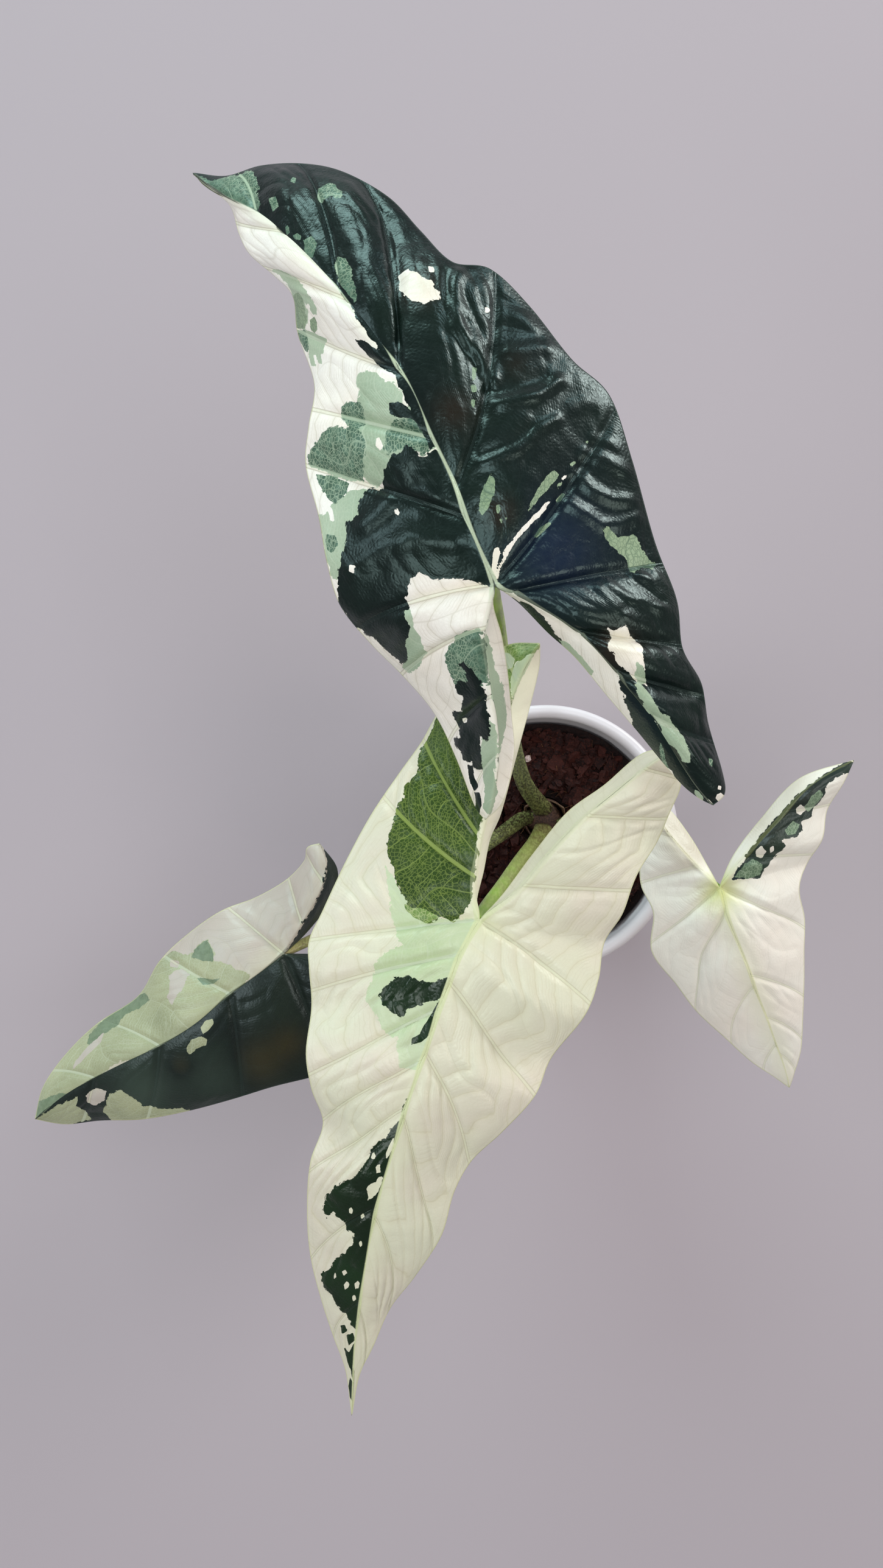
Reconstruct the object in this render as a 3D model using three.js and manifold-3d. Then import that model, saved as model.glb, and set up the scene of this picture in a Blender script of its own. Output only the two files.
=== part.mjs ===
// A potted variegated alocasia: four arrow-shaped leaves on long stalks that rise from one crown,
// in a mix of coco chips, in a plain white pot. Millimetres, +Z up, origin at the middle of the pot's base.
import * as THREE from 'three';
import { mergeVertices } from 'three/addons/utils/BufferGeometryUtils.js';
import Module from 'manifold-3d';

const wasm = await Module();
wasm.setup();

// Driving dimensions of the pot and what fills it
const POT_HEIGHT = 95;
const RIM_RADIUS = 55;
const RIM_WIDTH = 5.5;
const RIM_DEPTH = 8;
const BODY_TOP_RADIUS = 51.5;
const BASE_RADIUS = 38;
const WALL = 2;
const FLOOR = 3;
const DRAIN_HOLES = 5;
const DRAIN_RADIUS = 3.5;
const DRAIN_RING_RADIUS = 22;
const POT_SIDES = 48;
const SOIL_BELOW_RIM = 10;
const CHIP_RELIEF = 2.4;
const CLEARANCE = 0.3;

// Driving dimensions of the plant
const CROWN = { x: -0.5, y: 7.6, radius: 9, topRadius: 6.2, height: 14, depth: 24 };
const BLADE_THICKNESS = 0.8;
const RIB_DEPTH = 1.5;
const PUCKER = 1.3;

// The leaves were laid out on a photograph taken from straight above. A point of a leaf is written as
// [pixel across, pixel down, height in mm], and the eye's place turns it into millimetres.
const EYE = { x: -43.3, y: 22.2, z: 800 };
const FOCAL_PIXELS = 2800;
const PHOTO_CENTRE = { x: 725, y: 1288 };

function place(p) {
  const perPixel = (EYE.z - p.z) / FOCAL_PIXELS;
  return new THREE.Vector3(
    EYE.x + (p.x - PHOTO_CENTRE.x) * perPixel,
    EYE.y - (p.y - PHOTO_CENTRE.y) * perPixel,
    p.z,
  );
}

// The tallest leaf: its dark half faces up, and its pale half is folded down along the midrib.
// Each list runs from the tip to the junction, or on to the end of the back lobe. Row by row, a point
// of the midrib or of a back rib faces one of the margin. veins says where on the rib (in rows) each
// side vein leaves, and where on the margin it arrives.
const topLeaf = {
  midrib: [
    [317, 285, 318], [352, 310, 324], [400, 337, 332], [455, 372, 342], [510, 425, 351],
    [560, 482, 358], [600, 531, 363], [640, 585, 367], [675, 638, 370], [712, 720, 372],
    [745, 795, 373], [780, 885, 373], [812, 960, 371],
  ],
  sides: [
    {
      rib: [
        [800, 1005, 370], [792, 1050, 367], [800, 1110, 362], [812, 1175, 356], [817, 1240, 349],
        [808, 1312, 341], [797, 1346, 335],
      ],
      outer: [
        [345, 309, 321], [379, 338, 322], [394, 385, 328], [412, 418, 333], [452, 453, 337],
        [482, 487, 342], [490, 548, 338], [517, 630, 345], [508, 700, 348], [503, 765, 346],
        [524, 848, 350], [538, 925, 352], [560, 995, 350], [610, 1057, 344], [660, 1107, 338],
        [712, 1168, 336], [748, 1240, 335], [779, 1320, 334],
      ],
      inner: [
        [809, 995, 367], [823, 1045, 362], [833, 1108, 355], [839, 1175, 347], [843, 1240, 341],
        [826, 1314, 337],
      ],
      veins: [
        [0, 0], [1.5, 1.2], [3.2, 2.6], [5.2, 4.6], [7.5, 6.9], [9, 8.6], [10.6, 10],
        [12, 13.6], [13.6, 15], [15.5, 16.7], [17, 17.9], [19, 19],
      ],
    },
    {
      rib: [
        [864, 982, 371], [932, 1022, 369], [979, 1062, 366], [1030, 1124, 362], [1073, 1178, 357],
        [1135, 1275, 348], [1171, 1322, 342],
      ],
      outer: [
        [372, 290, 322], [430, 273, 326], [500, 270, 332], [565, 284, 338], [638, 325, 343],
        [690, 380, 349], [742, 431, 357], [805, 443, 355], [869, 504, 354], [938, 591, 356],
        [1000, 650, 354], [1037, 756, 355], [1074, 889, 353], [1110, 985, 352], [1120, 1065, 352],
        [1151, 1124, 349], [1162, 1189, 345], [1185, 1268, 343], [1189, 1303, 342],
      ],
      inner: [
        [853, 990, 366], [900, 1038, 361], [946, 1080, 358], [1000, 1145, 354], [1047, 1200, 350],
        [1112, 1279, 345], [1145, 1308, 343],
      ],
      veins: [
        [0, 0], [2.6, 1.2], [5.3, 2.8], [8.4, 4.2], [9.9, 6.1], [11.4, 7.7], [12, 10.7],
        [12.6, 12.7], [14.4, 14.2], [15.7, 15.5], [17, 16.5], [19, 19],
      ],
    },
  ],
};

// The pale leaf that hangs over the front of the pot, one storey lower.
const centreLeaf = {
  midrib: [
    [578, 2325, 262], [580, 2264, 270], [583, 2205, 279], [590, 2150, 288], [599, 2085, 296],
    [610, 2022, 303], [625, 1958, 309], [645, 1890, 314], [667, 1818, 318], [690, 1750, 320],
    [717, 1672, 321], [742, 1600, 321], [765, 1550, 320], [787, 1512, 318],
  ],
  sides: [
    {
      rib: [
        [777, 1470, 317], [780, 1425, 316], [788, 1375, 315], [802, 1320, 313], [818, 1245, 311],
        [837, 1155, 309], [860, 1097, 308], [886, 1057, 306],
      ],
      outer: [
        [568, 2250, 270], [548, 2195, 276], [527, 2130, 283], [510, 2060, 288], [505, 1985, 296],
        [510, 1910, 303], [531, 1845, 303], [512, 1788, 310], [503, 1730, 313], [512, 1655, 309],
        [508, 1590, 312], [508, 1545, 310], [530, 1497, 309], [570, 1412, 306], [612, 1335, 307],
        [655, 1272, 304], [692, 1220, 302], [725, 1163, 301], [775, 1100, 301], [832, 1061, 303],
      ],
      inner: [
        [782, 1480, 315], [793, 1432, 312], [804, 1378, 308], [822, 1335, 304], [845, 1250, 301],
        [868, 1165, 300], [884, 1098, 302],
      ],
      veins: [
        [0, 0], [3.2, 2], [5.6, 3.9], [8, 5.8], [9.1, 7.1], [10.2, 8.4], [11.6, 10.4], [13, 12],
        [14.7, 15.4], [16, 17.1], [18, 18.4], [19.6, 19.9], [21, 21],
      ],
    },
    {
      rib: [
        [851, 1465, 318], [900, 1408, 319], [955, 1350, 319], [1010, 1305, 318], [1070, 1256, 316],
        [1112, 1232, 313],
      ],
      outer: [
        [589, 2262, 270], [612, 2212, 277], [640, 2149, 281], [681, 2096, 289], [724, 2030, 298],
        [745, 1958, 302], [775, 1905, 303], [825, 1858, 309], [878, 1800, 313], [905, 1737, 309],
        [960, 1668, 313], [982, 1610, 311], [992, 1548, 307], [1022, 1500, 311], [1045, 1438, 312],
        [1078, 1383, 308], [1099, 1335, 311], [1118, 1285, 311],
      ],
      inner: [
        [826, 1470, 315], [876, 1403, 314], [932, 1335, 314], [993, 1290, 314], [1056, 1238, 313],
      ],
      veins: [
        [0, 0], [3, 1.4], [5.4, 2.9], [7.8, 4.6], [9.3, 6.9], [10.8, 9], [13, 11.3], [14.2, 14.6],
        [16.2, 16.8], [17.8, 18.1], [19, 19],
      ],
    },
  ],
};

// The older leaf on the left, lower still, with its tip drooping outwards.
const leftLeaf = {
  midrib: [
    [58, 1838, 184], [105, 1800, 192], [150, 1773, 199], [205, 1745, 206], [262, 1718, 212],
    [320, 1682, 217], [373, 1637, 220], [423, 1600, 222], [466, 1567, 222],
  ],
  sides: [
    {
      rib: [[490, 1525, 223], [518, 1477, 223], [534, 1430, 221], [524, 1386, 218]],
      outer: [
        [72, 1785, 184], [108, 1733, 188], [160, 1682, 194], [227, 1637, 199], [262, 1580, 207],
        [305, 1538, 209], [363, 1497, 212], [420, 1475, 211], [470, 1446, 213], [500, 1415, 215],
        [505, 1393, 217],
      ],
      inner: [[507, 1527, 218], [545, 1475, 214], [553, 1428, 214]],
      veins: [[0, 0], [2.1, 1.5], [4, 3.1], [6.1, 5.2], [8, 7.2], [9.2, 9.1], [10.6, 10.5], [12, 12]],
    },
    {
      rib: [[530, 1585, 222], [585, 1610, 221], [630, 1630, 218], [655, 1642, 215]],
      outer: [
        [108, 1846, 182], [165, 1840, 186], [235, 1838, 193], [310, 1824, 198], [385, 1804, 202],
        [450, 1784, 206], [515, 1768, 205], [580, 1748, 208], [625, 1716, 208], [650, 1682, 211],
        [660, 1660, 213],
      ],
      inner: [[535, 1570, 219], [600, 1587, 216], [645, 1612, 214]],
      veins: [[0, 0], [2.1, 1.5], [4, 3.1], [6.1, 5.2], [8, 7.4], [9.3, 9.4], [10.6, 10.6], [12, 12]],
    },
  ],
};

// The smallest leaf, pale, on the right.
const rightLeaf = {
  midrib: [
    [1296, 1786, 164], [1290, 1760, 170], [1277, 1722, 177], [1262, 1682, 184], [1246, 1640, 190],
    [1230, 1597, 195], [1213, 1553, 198], [1196, 1510, 200], [1181, 1458, 200],
  ],
  sides: [
    {
      rib: [[1150, 1430, 201], [1118, 1396, 201], [1086, 1355, 199], [1056, 1312, 196]],
      outer: [
        [1272, 1769, 167], [1232, 1742, 171], [1188, 1702, 178], [1143, 1660, 183], [1110, 1616, 188],
        [1070, 1562, 190], [1073, 1500, 194], [1053, 1455, 192], [1050, 1410, 194], [1044, 1370, 192],
        [1042, 1332, 193],
      ],
      inner: [[1162, 1424, 199], [1132, 1373, 197], [1095, 1327, 195]],
      veins: [[0, 0], [2.2, 1.5], [4.3, 2.8], [6.5, 4.1], [8, 6.2], [9.2, 8.1], [10.6, 10.3], [12, 12]],
    },
    {
      rib: [[1222, 1410, 202], [1270, 1358, 203], [1325, 1297, 203], [1402, 1249, 199]],
      outer: [
        [1303, 1765, 167], [1315, 1722, 172], [1318, 1668, 179], [1320, 1615, 184], [1320, 1562, 188],
        [1321, 1510, 190], [1312, 1460, 195], [1325, 1418, 192], [1350, 1378, 196], [1358, 1330, 195],
        [1384, 1287, 199],
      ],
      inner: [[1205, 1405, 199], [1248, 1348, 198], [1312, 1280, 198]],
      veins: [[0, 0], [1.8, 1.2], [3.3, 2.3], [4.9, 3.6], [8, 5.7], [9.1, 8.4], [10.4, 10.2], [12, 12]],
    },
  ],
};

// Stalks, from the crown to just under the junction of their leaf: [x, y, z] in mm, and the radius there.
const STALKS = {
  top: {
    path: [[-1.6, 12, 90], [-3, 13.2, 104], [-12.4, 24.1, 150], [-20.3, 44.8, 215], [-26.2, 65.4, 297],
      [-29.3, 71, 345], [-31, 75, 368.6]],
    radii: [4.2, 3.6, 3.1, 2.8, 2.3, 2, 1.6],
  },
  centre: {
    path: [[-1.2, 3.6, 90], [-2.6, 2.4, 104], [-7.6, -0.8, 143], [-16, -5.4, 200], [-24.3, -10.6, 258],
      [-30.6, -14.4, 300], [-33.9, -17.8, 315.8]],
    radii: [4.2, 3.5, 3, 2.6, 2.2, 1.9, 1.6],
  },
  left: {
    path: [[-5, 8.6, 91], [-11.2, 7.2, 101], [-24, 0, 138], [-50, -14.5, 182], [-78, -27, 209],
      [-92, -33, 217.4], [-99, -36.5, 220]],
    radii: [3.6, 3.2, 2.7, 2.4, 2, 1.7, 1.4],
  },
  right: {
    path: [[3.8, 6.2, 91], [8.4, 4.6, 101], [18, 1, 128], [33, -5.4, 166], [47, -11, 189], [52, -13, 195.4],
      [55.6, -16, 197.6]],
    radii: [3.6, 3.2, 2.7, 2.3, 1.9, 1.7, 1.4],
  },
};

// A smooth curve through points written [across, down, height].
function smooth(points) {
  const through = points.map((p) => new THREE.Vector3(...p));
  return new THREE.CatmullRomCurve3(through, false, 'catmullrom', 0.5);
}

// How far the blade puckers up between two side veins, from 0 on a vein to 1 midway.
function puckerAt(veins, row, across) {
  const at = veins.map(([onRib, onMargin]) => onRib + (onMargin - onRib) * across);
  const next = Math.max(1, at.findIndex((v) => v >= row));
  const share = (row - at[next - 1]) / Math.max(1e-6, at[next] - at[next - 1]);
  const between = 1 - Math.abs(2 * THREE.MathUtils.clamp(share, 0, 1) - 1) ** 2.4;
  return between * Math.sin(Math.PI * across ** 0.8) ** 0.7;
}

// The middle surface of a blade: its points, the depth of the rib under each, and its triangles.
function bladeSurface(leaf, rowsPerSpan, columns, innerColumns) {
  const points = [];
  const ribs = [];
  const triangles = [];
  const add = (p, rib) => {
    points.push(place(p));
    ribs.push(rib);
    return points.length - 1;
  };

  const junction = leaf.midrib.at(-1);
  const midribSpans = leaf.midrib.length - 1;
  const midribCurve = smooth(leaf.midrib);
  const midribPoints = [];
  for (let i = 0; i <= midribSpans * rowsPerSpan; i++) {
    const share = i / (midribSpans * rowsPerSpan);
    midribPoints.push(add(midribCurve.getPoint(share), RIB_DEPTH * share));
  }

  for (const side of leaf.sides) {
    const ribSpans = side.rib.length;
    const end = side.rib.at(-1);
    const ribCurve = smooth([junction, ...side.rib]);
    const outerCurve = smooth([leaf.midrib[0], ...side.outer, end]);
    const innerCurve = smooth([junction, ...side.inner, end]);
    const spans = midribSpans + ribSpans;
    const rows = spans * rowsPerSpan;

    const spine = [...midribPoints];
    for (let i = 1; i <= ribSpans * rowsPerSpan; i++) {
      const share = i / (ribSpans * rowsPerSpan);
      spine.push(add(ribCurve.getPoint(share), RIB_DEPTH * (1 - share)));
    }

    // One patch: rows of points from the spine to a margin. Both its ends run out to a single point.
    const patch = (first, marginCurve, shares, pucker, facesUp) => {
      const marginRows = rows - first;
      const grid = [];
      for (let i = first; i <= rows; i++) {
        const row = i / rowsPerSpan;
        const onSpine = i <= midribSpans * rowsPerSpan
          ? midribCurve.getPoint(row / midribSpans)
          : ribCurve.getPoint((row - midribSpans) / ribSpans);
        const onMargin = marginCurve.getPoint((i - first) / marginRows);
        const width = onSpine.distanceTo(onMargin);
        const line = [spine[i]];
        for (const across of shares) {
          if (i === first || i === rows) {
            line.push(spine[i]);
            continue;
          }
          const p = onSpine.clone().lerp(onMargin, across);
          p.z = THREE.MathUtils.lerp(onSpine.z, onMargin.z, across ** 1.3);
          if (pucker) p.z += PUCKER * Math.min(1, width / 120) * puckerAt(side.veins, row, across);
          line.push(add(p, 0));
        }
        grid.push(line);
      }
      for (let i = 0; i < grid.length - 1; i++) {
        for (let j = 0; j < shares.length; j++) {
          const [a, b, c, d] = [grid[i][j], grid[i + 1][j], grid[i + 1][j + 1], grid[i][j + 1]];
          for (const t of [[a, b, c], [a, c, d]]) {
            if (new Set(t).size < 3) continue;
            triangles.push(facesUp ? t : [t[0], t[2], t[1]]);
          }
        }
      }
    };

    // Seen from above, the tip-to-junction way and the rib-to-margin way turn left or right.
    const along = place(smooth(leaf.midrib).getPoint(1)).sub(place(midribCurve.getPoint(0)));
    const middle = midribSpans / spans;
    const outward = place(outerCurve.getPoint(middle)).sub(place(midribCurve.getPoint(1)));
    const facesUp = along.x * outward.y - along.y * outward.x > 0;
    patch(0, outerCurve, columns, true, facesUp);
    patch(midribSpans * rowsPerSpan, innerCurve, innerColumns, false, !facesUp);
  }
  return { points, ribs, triangles };
}

// A closed solid: the surface set off to both sides, split alike, and joined round the edge.
function bladeGeometry(surface, thickness) {
  const { points, ribs, triangles } = surface;
  const normals = points.map(() => new THREE.Vector3());
  for (const [a, b, c] of triangles) {
    const n = new THREE.Vector3()
      .subVectors(points[b], points[a])
      .cross(new THREE.Vector3().subVectors(points[c], points[a]));
    for (const v of [a, b, c]) normals[v].add(n);
  }
  const extra = (thickness - BLADE_THICKNESS) / 2;
  const positions = [];
  points.forEach((p, i) => {
    const up = p.clone().addScaledVector(normals[i].normalize(), thickness / 2);
    positions.push(up.x, up.y, up.z);
  });
  points.forEach((p, i) => {
    const down = p.clone().addScaledVector(normals[i], -(BLADE_THICKNESS / 2 + ribs[i] + extra));
    positions.push(down.x, down.y, down.z);
  });
  const under = points.length;
  const index = [];
  const edges = new Set();
  for (const [a, b, c] of triangles) {
    index.push(a, b, c, under + a, under + c, under + b);
    for (const [p, q] of [[a, b], [b, c], [c, a]]) edges.add(`${p},${q}`);
  }
  for (const edge of edges) {
    const [p, q] = edge.split(',').map(Number);
    if (edges.has(`${q},${p}`)) continue;
    index.push(p, under + p, under + q, p, under + q, q);
  }
  const geometry = new THREE.BufferGeometry();
  geometry.setAttribute('position', new THREE.Float32BufferAttribute(positions, 3));
  geometry.setIndex(index);
  return geometry;
}

// A stalk: rings of a changing radius along a curve, closed at both ends.
function stalkGeometry({ path, radii }, sides = 10, ringsPerSpan = 3) {
  const curve = smooth(path);
  const rings = (path.length - 1) * ringsPerSpan;
  const frames = curve.computeFrenetFrames(rings, false);
  const centres = [];
  const positions = [];
  for (let i = 0; i <= rings; i++) {
    const share = i / rings;
    const centre = curve.getPoint(share);
    const along = curve.getTangent(share);
    const across = frames.normals[i].clone().addScaledVector(along, -frames.normals[i].dot(along));
    across.normalize();
    const beside = new THREE.Vector3().crossVectors(along, across);
    const step = share * (radii.length - 1);
    const low = Math.min(Math.floor(step), radii.length - 2);
    const radius = THREE.MathUtils.lerp(radii[low], radii[low + 1], step - low);
    centres.push(centre);
    for (let j = 0; j < sides; j++) {
      const angle = (2 * Math.PI * j) / sides;
      const p = centre.clone()
        .addScaledVector(across, radius * Math.cos(angle))
        .addScaledVector(beside, radius * Math.sin(angle));
      positions.push(p.x, p.y, p.z);
    }
  }
  const first = positions.length / 3;
  for (const c of [centres[0], centres.at(-1)]) positions.push(c.x, c.y, c.z);
  const index = [];
  for (let j = 0; j < sides; j++) {
    const k = (j + 1) % sides;
    for (let i = 0; i < rings; i++) {
      const [a, b, c, d] = [i * sides + j, i * sides + k, (i + 1) * sides + k, (i + 1) * sides + j];
      index.push(a, b, c, a, c, d);
    }
    index.push(first, k, j, first + 1, rings * sides + j, rings * sides + k);
  }
  const geometry = new THREE.BufferGeometry();
  geometry.setAttribute('position', new THREE.Float32BufferAttribute(positions, 3));
  geometry.setIndex(index);
  return geometry;
}

// Between three.js and the library that cuts and joins solids
function toSolid(geometry) {
  const bare = geometry.clone();
  for (const name of Object.keys(bare.attributes)) if (name !== 'position') bare.deleteAttribute(name);
  const merged = mergeVertices(bare, 1e-4);
  return new wasm.Manifold(new wasm.Mesh({
    numProp: 3,
    vertProperties: new Float32Array(merged.attributes.position.array),
    triVerts: new Uint32Array(merged.index.array),
  }));
}

function toGeometry(solid) {
  const mesh = solid.getMesh();
  const positions = new Float32Array(mesh.numVert * 3);
  for (let i = 0; i < mesh.numVert; i++) {
    positions.set(mesh.vertProperties.subarray(i * mesh.numProp, i * mesh.numProp + 3), i * 3);
  }
  const geometry = new THREE.BufferGeometry();
  geometry.setAttribute('position', new THREE.BufferAttribute(positions, 3));
  geometry.setIndex(new THREE.BufferAttribute(new Uint32Array(mesh.triVerts), 1));
  return geometry;
}

function largest(solid) {
  return solid.decompose().reduce((a, b) => (a.volume() > b.volume() ? a : b));
}

// A profile of [radius, height] pairs turned round the upright axis at (x, y)
function turned(profile, sides, x = 0, y = 0) {
  const geometry = new THREE.LatheGeometry(profile.map(([r, z]) => new THREE.Vector2(r, z)), sides);
  geometry.rotateX(Math.PI / 2);
  geometry.translate(x, y, 0);
  return geometry;
}

// The pot: a tapered cup with a rolled rim and drain holes in its floor
function innerRadiusAt(height) {
  return THREE.MathUtils.lerp(BASE_RADIUS, BODY_TOP_RADIUS, height / POT_HEIGHT) - WALL;
}

function pot() {
  const rimInner = RIM_RADIUS - RIM_WIDTH;
  const round = 1.2;
  const profile = [
    [0, 0],
    [BASE_RADIUS - 1, 0],
    [BASE_RADIUS, 1],
    [BODY_TOP_RADIUS - 0.8, POT_HEIGHT - RIM_DEPTH],
    [RIM_RADIUS - 0.8, POT_HEIGHT - RIM_DEPTH],
    [RIM_RADIUS, POT_HEIGHT - RIM_DEPTH + 0.8],
    [RIM_RADIUS, POT_HEIGHT - round],
    [RIM_RADIUS - round, POT_HEIGHT],
    [rimInner + round, POT_HEIGHT],
    [rimInner, POT_HEIGHT - round],
    [innerRadiusAt(POT_HEIGHT - RIM_DEPTH), POT_HEIGHT - RIM_DEPTH],
    [innerRadiusAt(FLOOR), FLOOR],
    [0, FLOOR],
  ];
  let solid = toSolid(turned(profile, POT_SIDES));
  for (let i = 0; i < DRAIN_HOLES; i++) {
    const angle = (2 * Math.PI * i) / DRAIN_HOLES;
    const drill = new THREE.CylinderGeometry(DRAIN_RADIUS, DRAIN_RADIUS, 3 * FLOOR, 12);
    drill.rotateX(Math.PI / 2);
    drill.translate(DRAIN_RING_RADIUS * Math.cos(angle), DRAIN_RING_RADIUS * Math.sin(angle), 0);
    solid = solid.subtract(toSolid(drill));
  }
  return toGeometry(solid);
}

// A repeatable draw of numbers from 0 to 1
function dice(seed) {
  let state = seed;
  return () => {
    state = (state * 16807) % 2147483647;
    return state / 2147483647;
  };
}

// The mix of coco chips: a plug that fills the pot, its top roughened by flat-topped chips, with a
// plain hole for the crown
function soil() {
  const top = POT_HEIGHT - SOIL_BELOW_RIM;
  const rings = 11;
  const sectors = 44;
  const draw = dice(7);
  const chips = Array.from({ length: 90 }, () => {
    const radius = Math.sqrt(draw()) * innerRadiusAt(top);
    const angle = 2 * Math.PI * draw();
    return {
      x: radius * Math.cos(angle),
      y: radius * Math.sin(angle),
      reach: 3 + 3 * draw(),
      height: CHIP_RELIEF * (0.35 + 0.65 * draw()),
    };
  });
  const topHeight = (x, y, share) => {
    const rise = chips.reduce((most, c) => {
      const away = Math.hypot(x - c.x, y - c.y) / c.reach;
      return Math.max(most, c.height * (1 - THREE.MathUtils.smoothstep(away, 0.55, 1)));
    }, 0);
    return top - 1.2 + rise * (1 - share ** 8) + 1.2 * (1 - share);
  };
  const edge = innerRadiusAt(top - 2) - CLEARANCE;
  const positions = [0, 0, topHeight(0, 0, 0)];
  for (let i = 1; i <= rings; i++) {
    for (let j = 0; j < sectors; j++) {
      const share = i / rings;
      const angle = (2 * Math.PI * (j + 0.5 * (i % 2))) / sectors;
      const [x, y] = [edge * share * Math.cos(angle), edge * share * Math.sin(angle)];
      positions.push(x, y, topHeight(x, y, share));
    }
  }
  const foot = innerRadiusAt(FLOOR + CLEARANCE) - CLEARANCE;
  for (let j = 0; j < sectors; j++) {
    const angle = (2 * Math.PI * (j + 0.5 * (rings % 2))) / sectors;
    positions.push(foot * Math.cos(angle), foot * Math.sin(angle), FLOOR + CLEARANCE);
  }
  positions.push(0, 0, FLOOR + CLEARANCE);
  const at = (i, j) => 1 + (i - 1) * sectors + (j % sectors);
  const bottom = positions.length / 3 - 1;
  const index = [];
  for (let j = 0; j < sectors; j++) {
    index.push(0, at(1, j), at(1, j + 1));
    for (let i = 1; i <= rings; i++) {
      // Every other ring is turned by half a sector, so the diagonal changes over
      const shifted = i < rings && i % 2 === 1;
      const [a, b, c, d] = [at(i, j), at(i + 1, j), at(i + 1, j + 1), at(i, j + 1)];
      if (shifted) index.push(a, b, c, a, c, d);
      else index.push(a, b, d, b, c, d);
    }
    index.push(bottom, at(rings + 1, j + 1), at(rings + 1, j));
  }
  const geometry = new THREE.BufferGeometry();
  geometry.setAttribute('position', new THREE.Float32BufferAttribute(positions, 3));
  geometry.setIndex(index);
  const hole = turned(
    [[0, top - CROWN.depth], [CROWN.radius + CLEARANCE, top - CROWN.depth],
      [CROWN.radius + CLEARANCE, top + 20], [0, top + 20]],
    24, CROWN.x, CROWN.y,
  );
  return toGeometry(toSolid(geometry).subtract(toSolid(hole)));
}

// The crown: the short stem that the stalks rise from, with its foot in the mix
function crown(grow = 0) {
  const soilTop = POT_HEIGHT - SOIL_BELOW_RIM;
  const foot = soilTop - CROWN.depth + CLEARANCE;
  const top = soilTop + CROWN.height;
  const profile = [
    [0, foot - grow],
    [CROWN.radius * 0.7 + grow, foot - grow],
    [CROWN.radius + grow, foot + 4],
    [CROWN.radius + grow, soilTop + 1],
    [CROWN.topRadius + 1.2 + grow, soilTop + CROWN.height * 0.6],
    [CROWN.topRadius + grow, top - 2.4],
    [CROWN.topRadius * 0.6 + grow, top - 0.6 + grow],
    [0, top + grow],
  ];
  return turned(profile, 20, CROWN.x, CROWN.y);
}

// Leaves, and the stalk of each cut clear of its own blade and of the crown
const columns = [0.06, 0.17, 0.32, 0.48, 0.65, 0.83, 1];
const innerColumns = [0.45, 1];
const looks = {
  pot: { color: '#e9e7e6', roughness: 0.35 },
  soil: { color: '#3a201a', roughness: 0.95 },
  crown: { color: '#8a5a48', roughness: 0.6 },
  stalk: { color: '#6f8a3a', roughness: 0.45 },
  top: { color: '#1c2a27', roughness: 0.35 },
  centre: { color: '#e9e6c9', roughness: 0.45 },
  left: { color: '#33443a', roughness: 0.4 },
  right: { color: '#e2e1d2', roughness: 0.45 },
};

const plant = new THREE.Group();

function piece(name, geometry, look) {
  const material = new THREE.MeshStandardMaterial({ ...look, metalness: 0 });
  const mesh = new THREE.Mesh(geometry, material);
  mesh.name = name;
  plant.add(mesh);
}

piece('pot', pot(), looks.pot);
piece('soil', soil(), looks.soil);
piece('crown', crown(), looks.crown);

const widerCrown = toSolid(crown(CLEARANCE));
const leaves = { top: topLeaf, centre: centreLeaf, left: leftLeaf, right: rightLeaf };
for (const [name, leaf] of Object.entries(leaves)) {
  const surface = bladeSurface(leaf, 2, columns, innerColumns);
  piece(`leaf_${name}`, bladeGeometry(surface, BLADE_THICKNESS), looks[name]);
  const junction = place(new THREE.Vector3(...leaf.midrib.at(-1)));
  const before = place(new THREE.Vector3(...leaf.midrib.at(-2)));
  const towardsSinus = junction.clone().sub(before).setZ(0).setLength(CLEARANCE);
  const widerBlade = toSolid(bladeGeometry(surface, BLADE_THICKNESS + 2 * CLEARANCE));
  const stalk = toSolid(stalkGeometry(STALKS[name]))
    .subtract(widerBlade)
    .subtract(widerBlade.translate(towardsSinus.toArray()))
    .subtract(widerCrown);
  piece(`stalk_${name}`, toGeometry(largest(stalk)), looks.stalk);
}

export default plant;
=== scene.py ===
# %% [markdown]
# # A potted variegated alocasia
#
# The plant stands in a plain white pot and is looked at from straight above. Four arrow-shaped blades
# ride on long stalks from one short crown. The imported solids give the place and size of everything;
# here each blade, stalk, the mix and the pot is made again with finer surfaces and real finishes.

import functools
import math
from types import SimpleNamespace

import bpy
import numpy as np
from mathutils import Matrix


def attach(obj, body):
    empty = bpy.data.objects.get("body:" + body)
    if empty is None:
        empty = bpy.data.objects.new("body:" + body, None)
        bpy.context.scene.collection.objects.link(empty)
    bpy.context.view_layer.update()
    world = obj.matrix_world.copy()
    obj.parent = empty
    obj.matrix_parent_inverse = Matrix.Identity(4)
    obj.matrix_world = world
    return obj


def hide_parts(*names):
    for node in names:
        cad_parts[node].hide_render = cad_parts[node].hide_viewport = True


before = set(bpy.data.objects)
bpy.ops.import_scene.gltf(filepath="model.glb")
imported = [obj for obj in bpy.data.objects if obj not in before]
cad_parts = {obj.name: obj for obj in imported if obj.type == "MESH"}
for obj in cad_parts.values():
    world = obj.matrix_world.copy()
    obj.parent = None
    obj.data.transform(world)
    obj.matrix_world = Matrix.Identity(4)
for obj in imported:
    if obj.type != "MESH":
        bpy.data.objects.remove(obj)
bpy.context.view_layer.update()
print("nodes:", sorted(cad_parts))

# %% [markdown]
# ## Where the eye stands
#
# Every leaf was laid out on a picture taken from straight above, so a point of a leaf is written as
# pixels across, pixels down and height in millimetres. The eye is 800 mm over the table. The higher a
# point lies, the nearer it is to the eye, and the fewer millimetres a pixel covers there.

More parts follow.
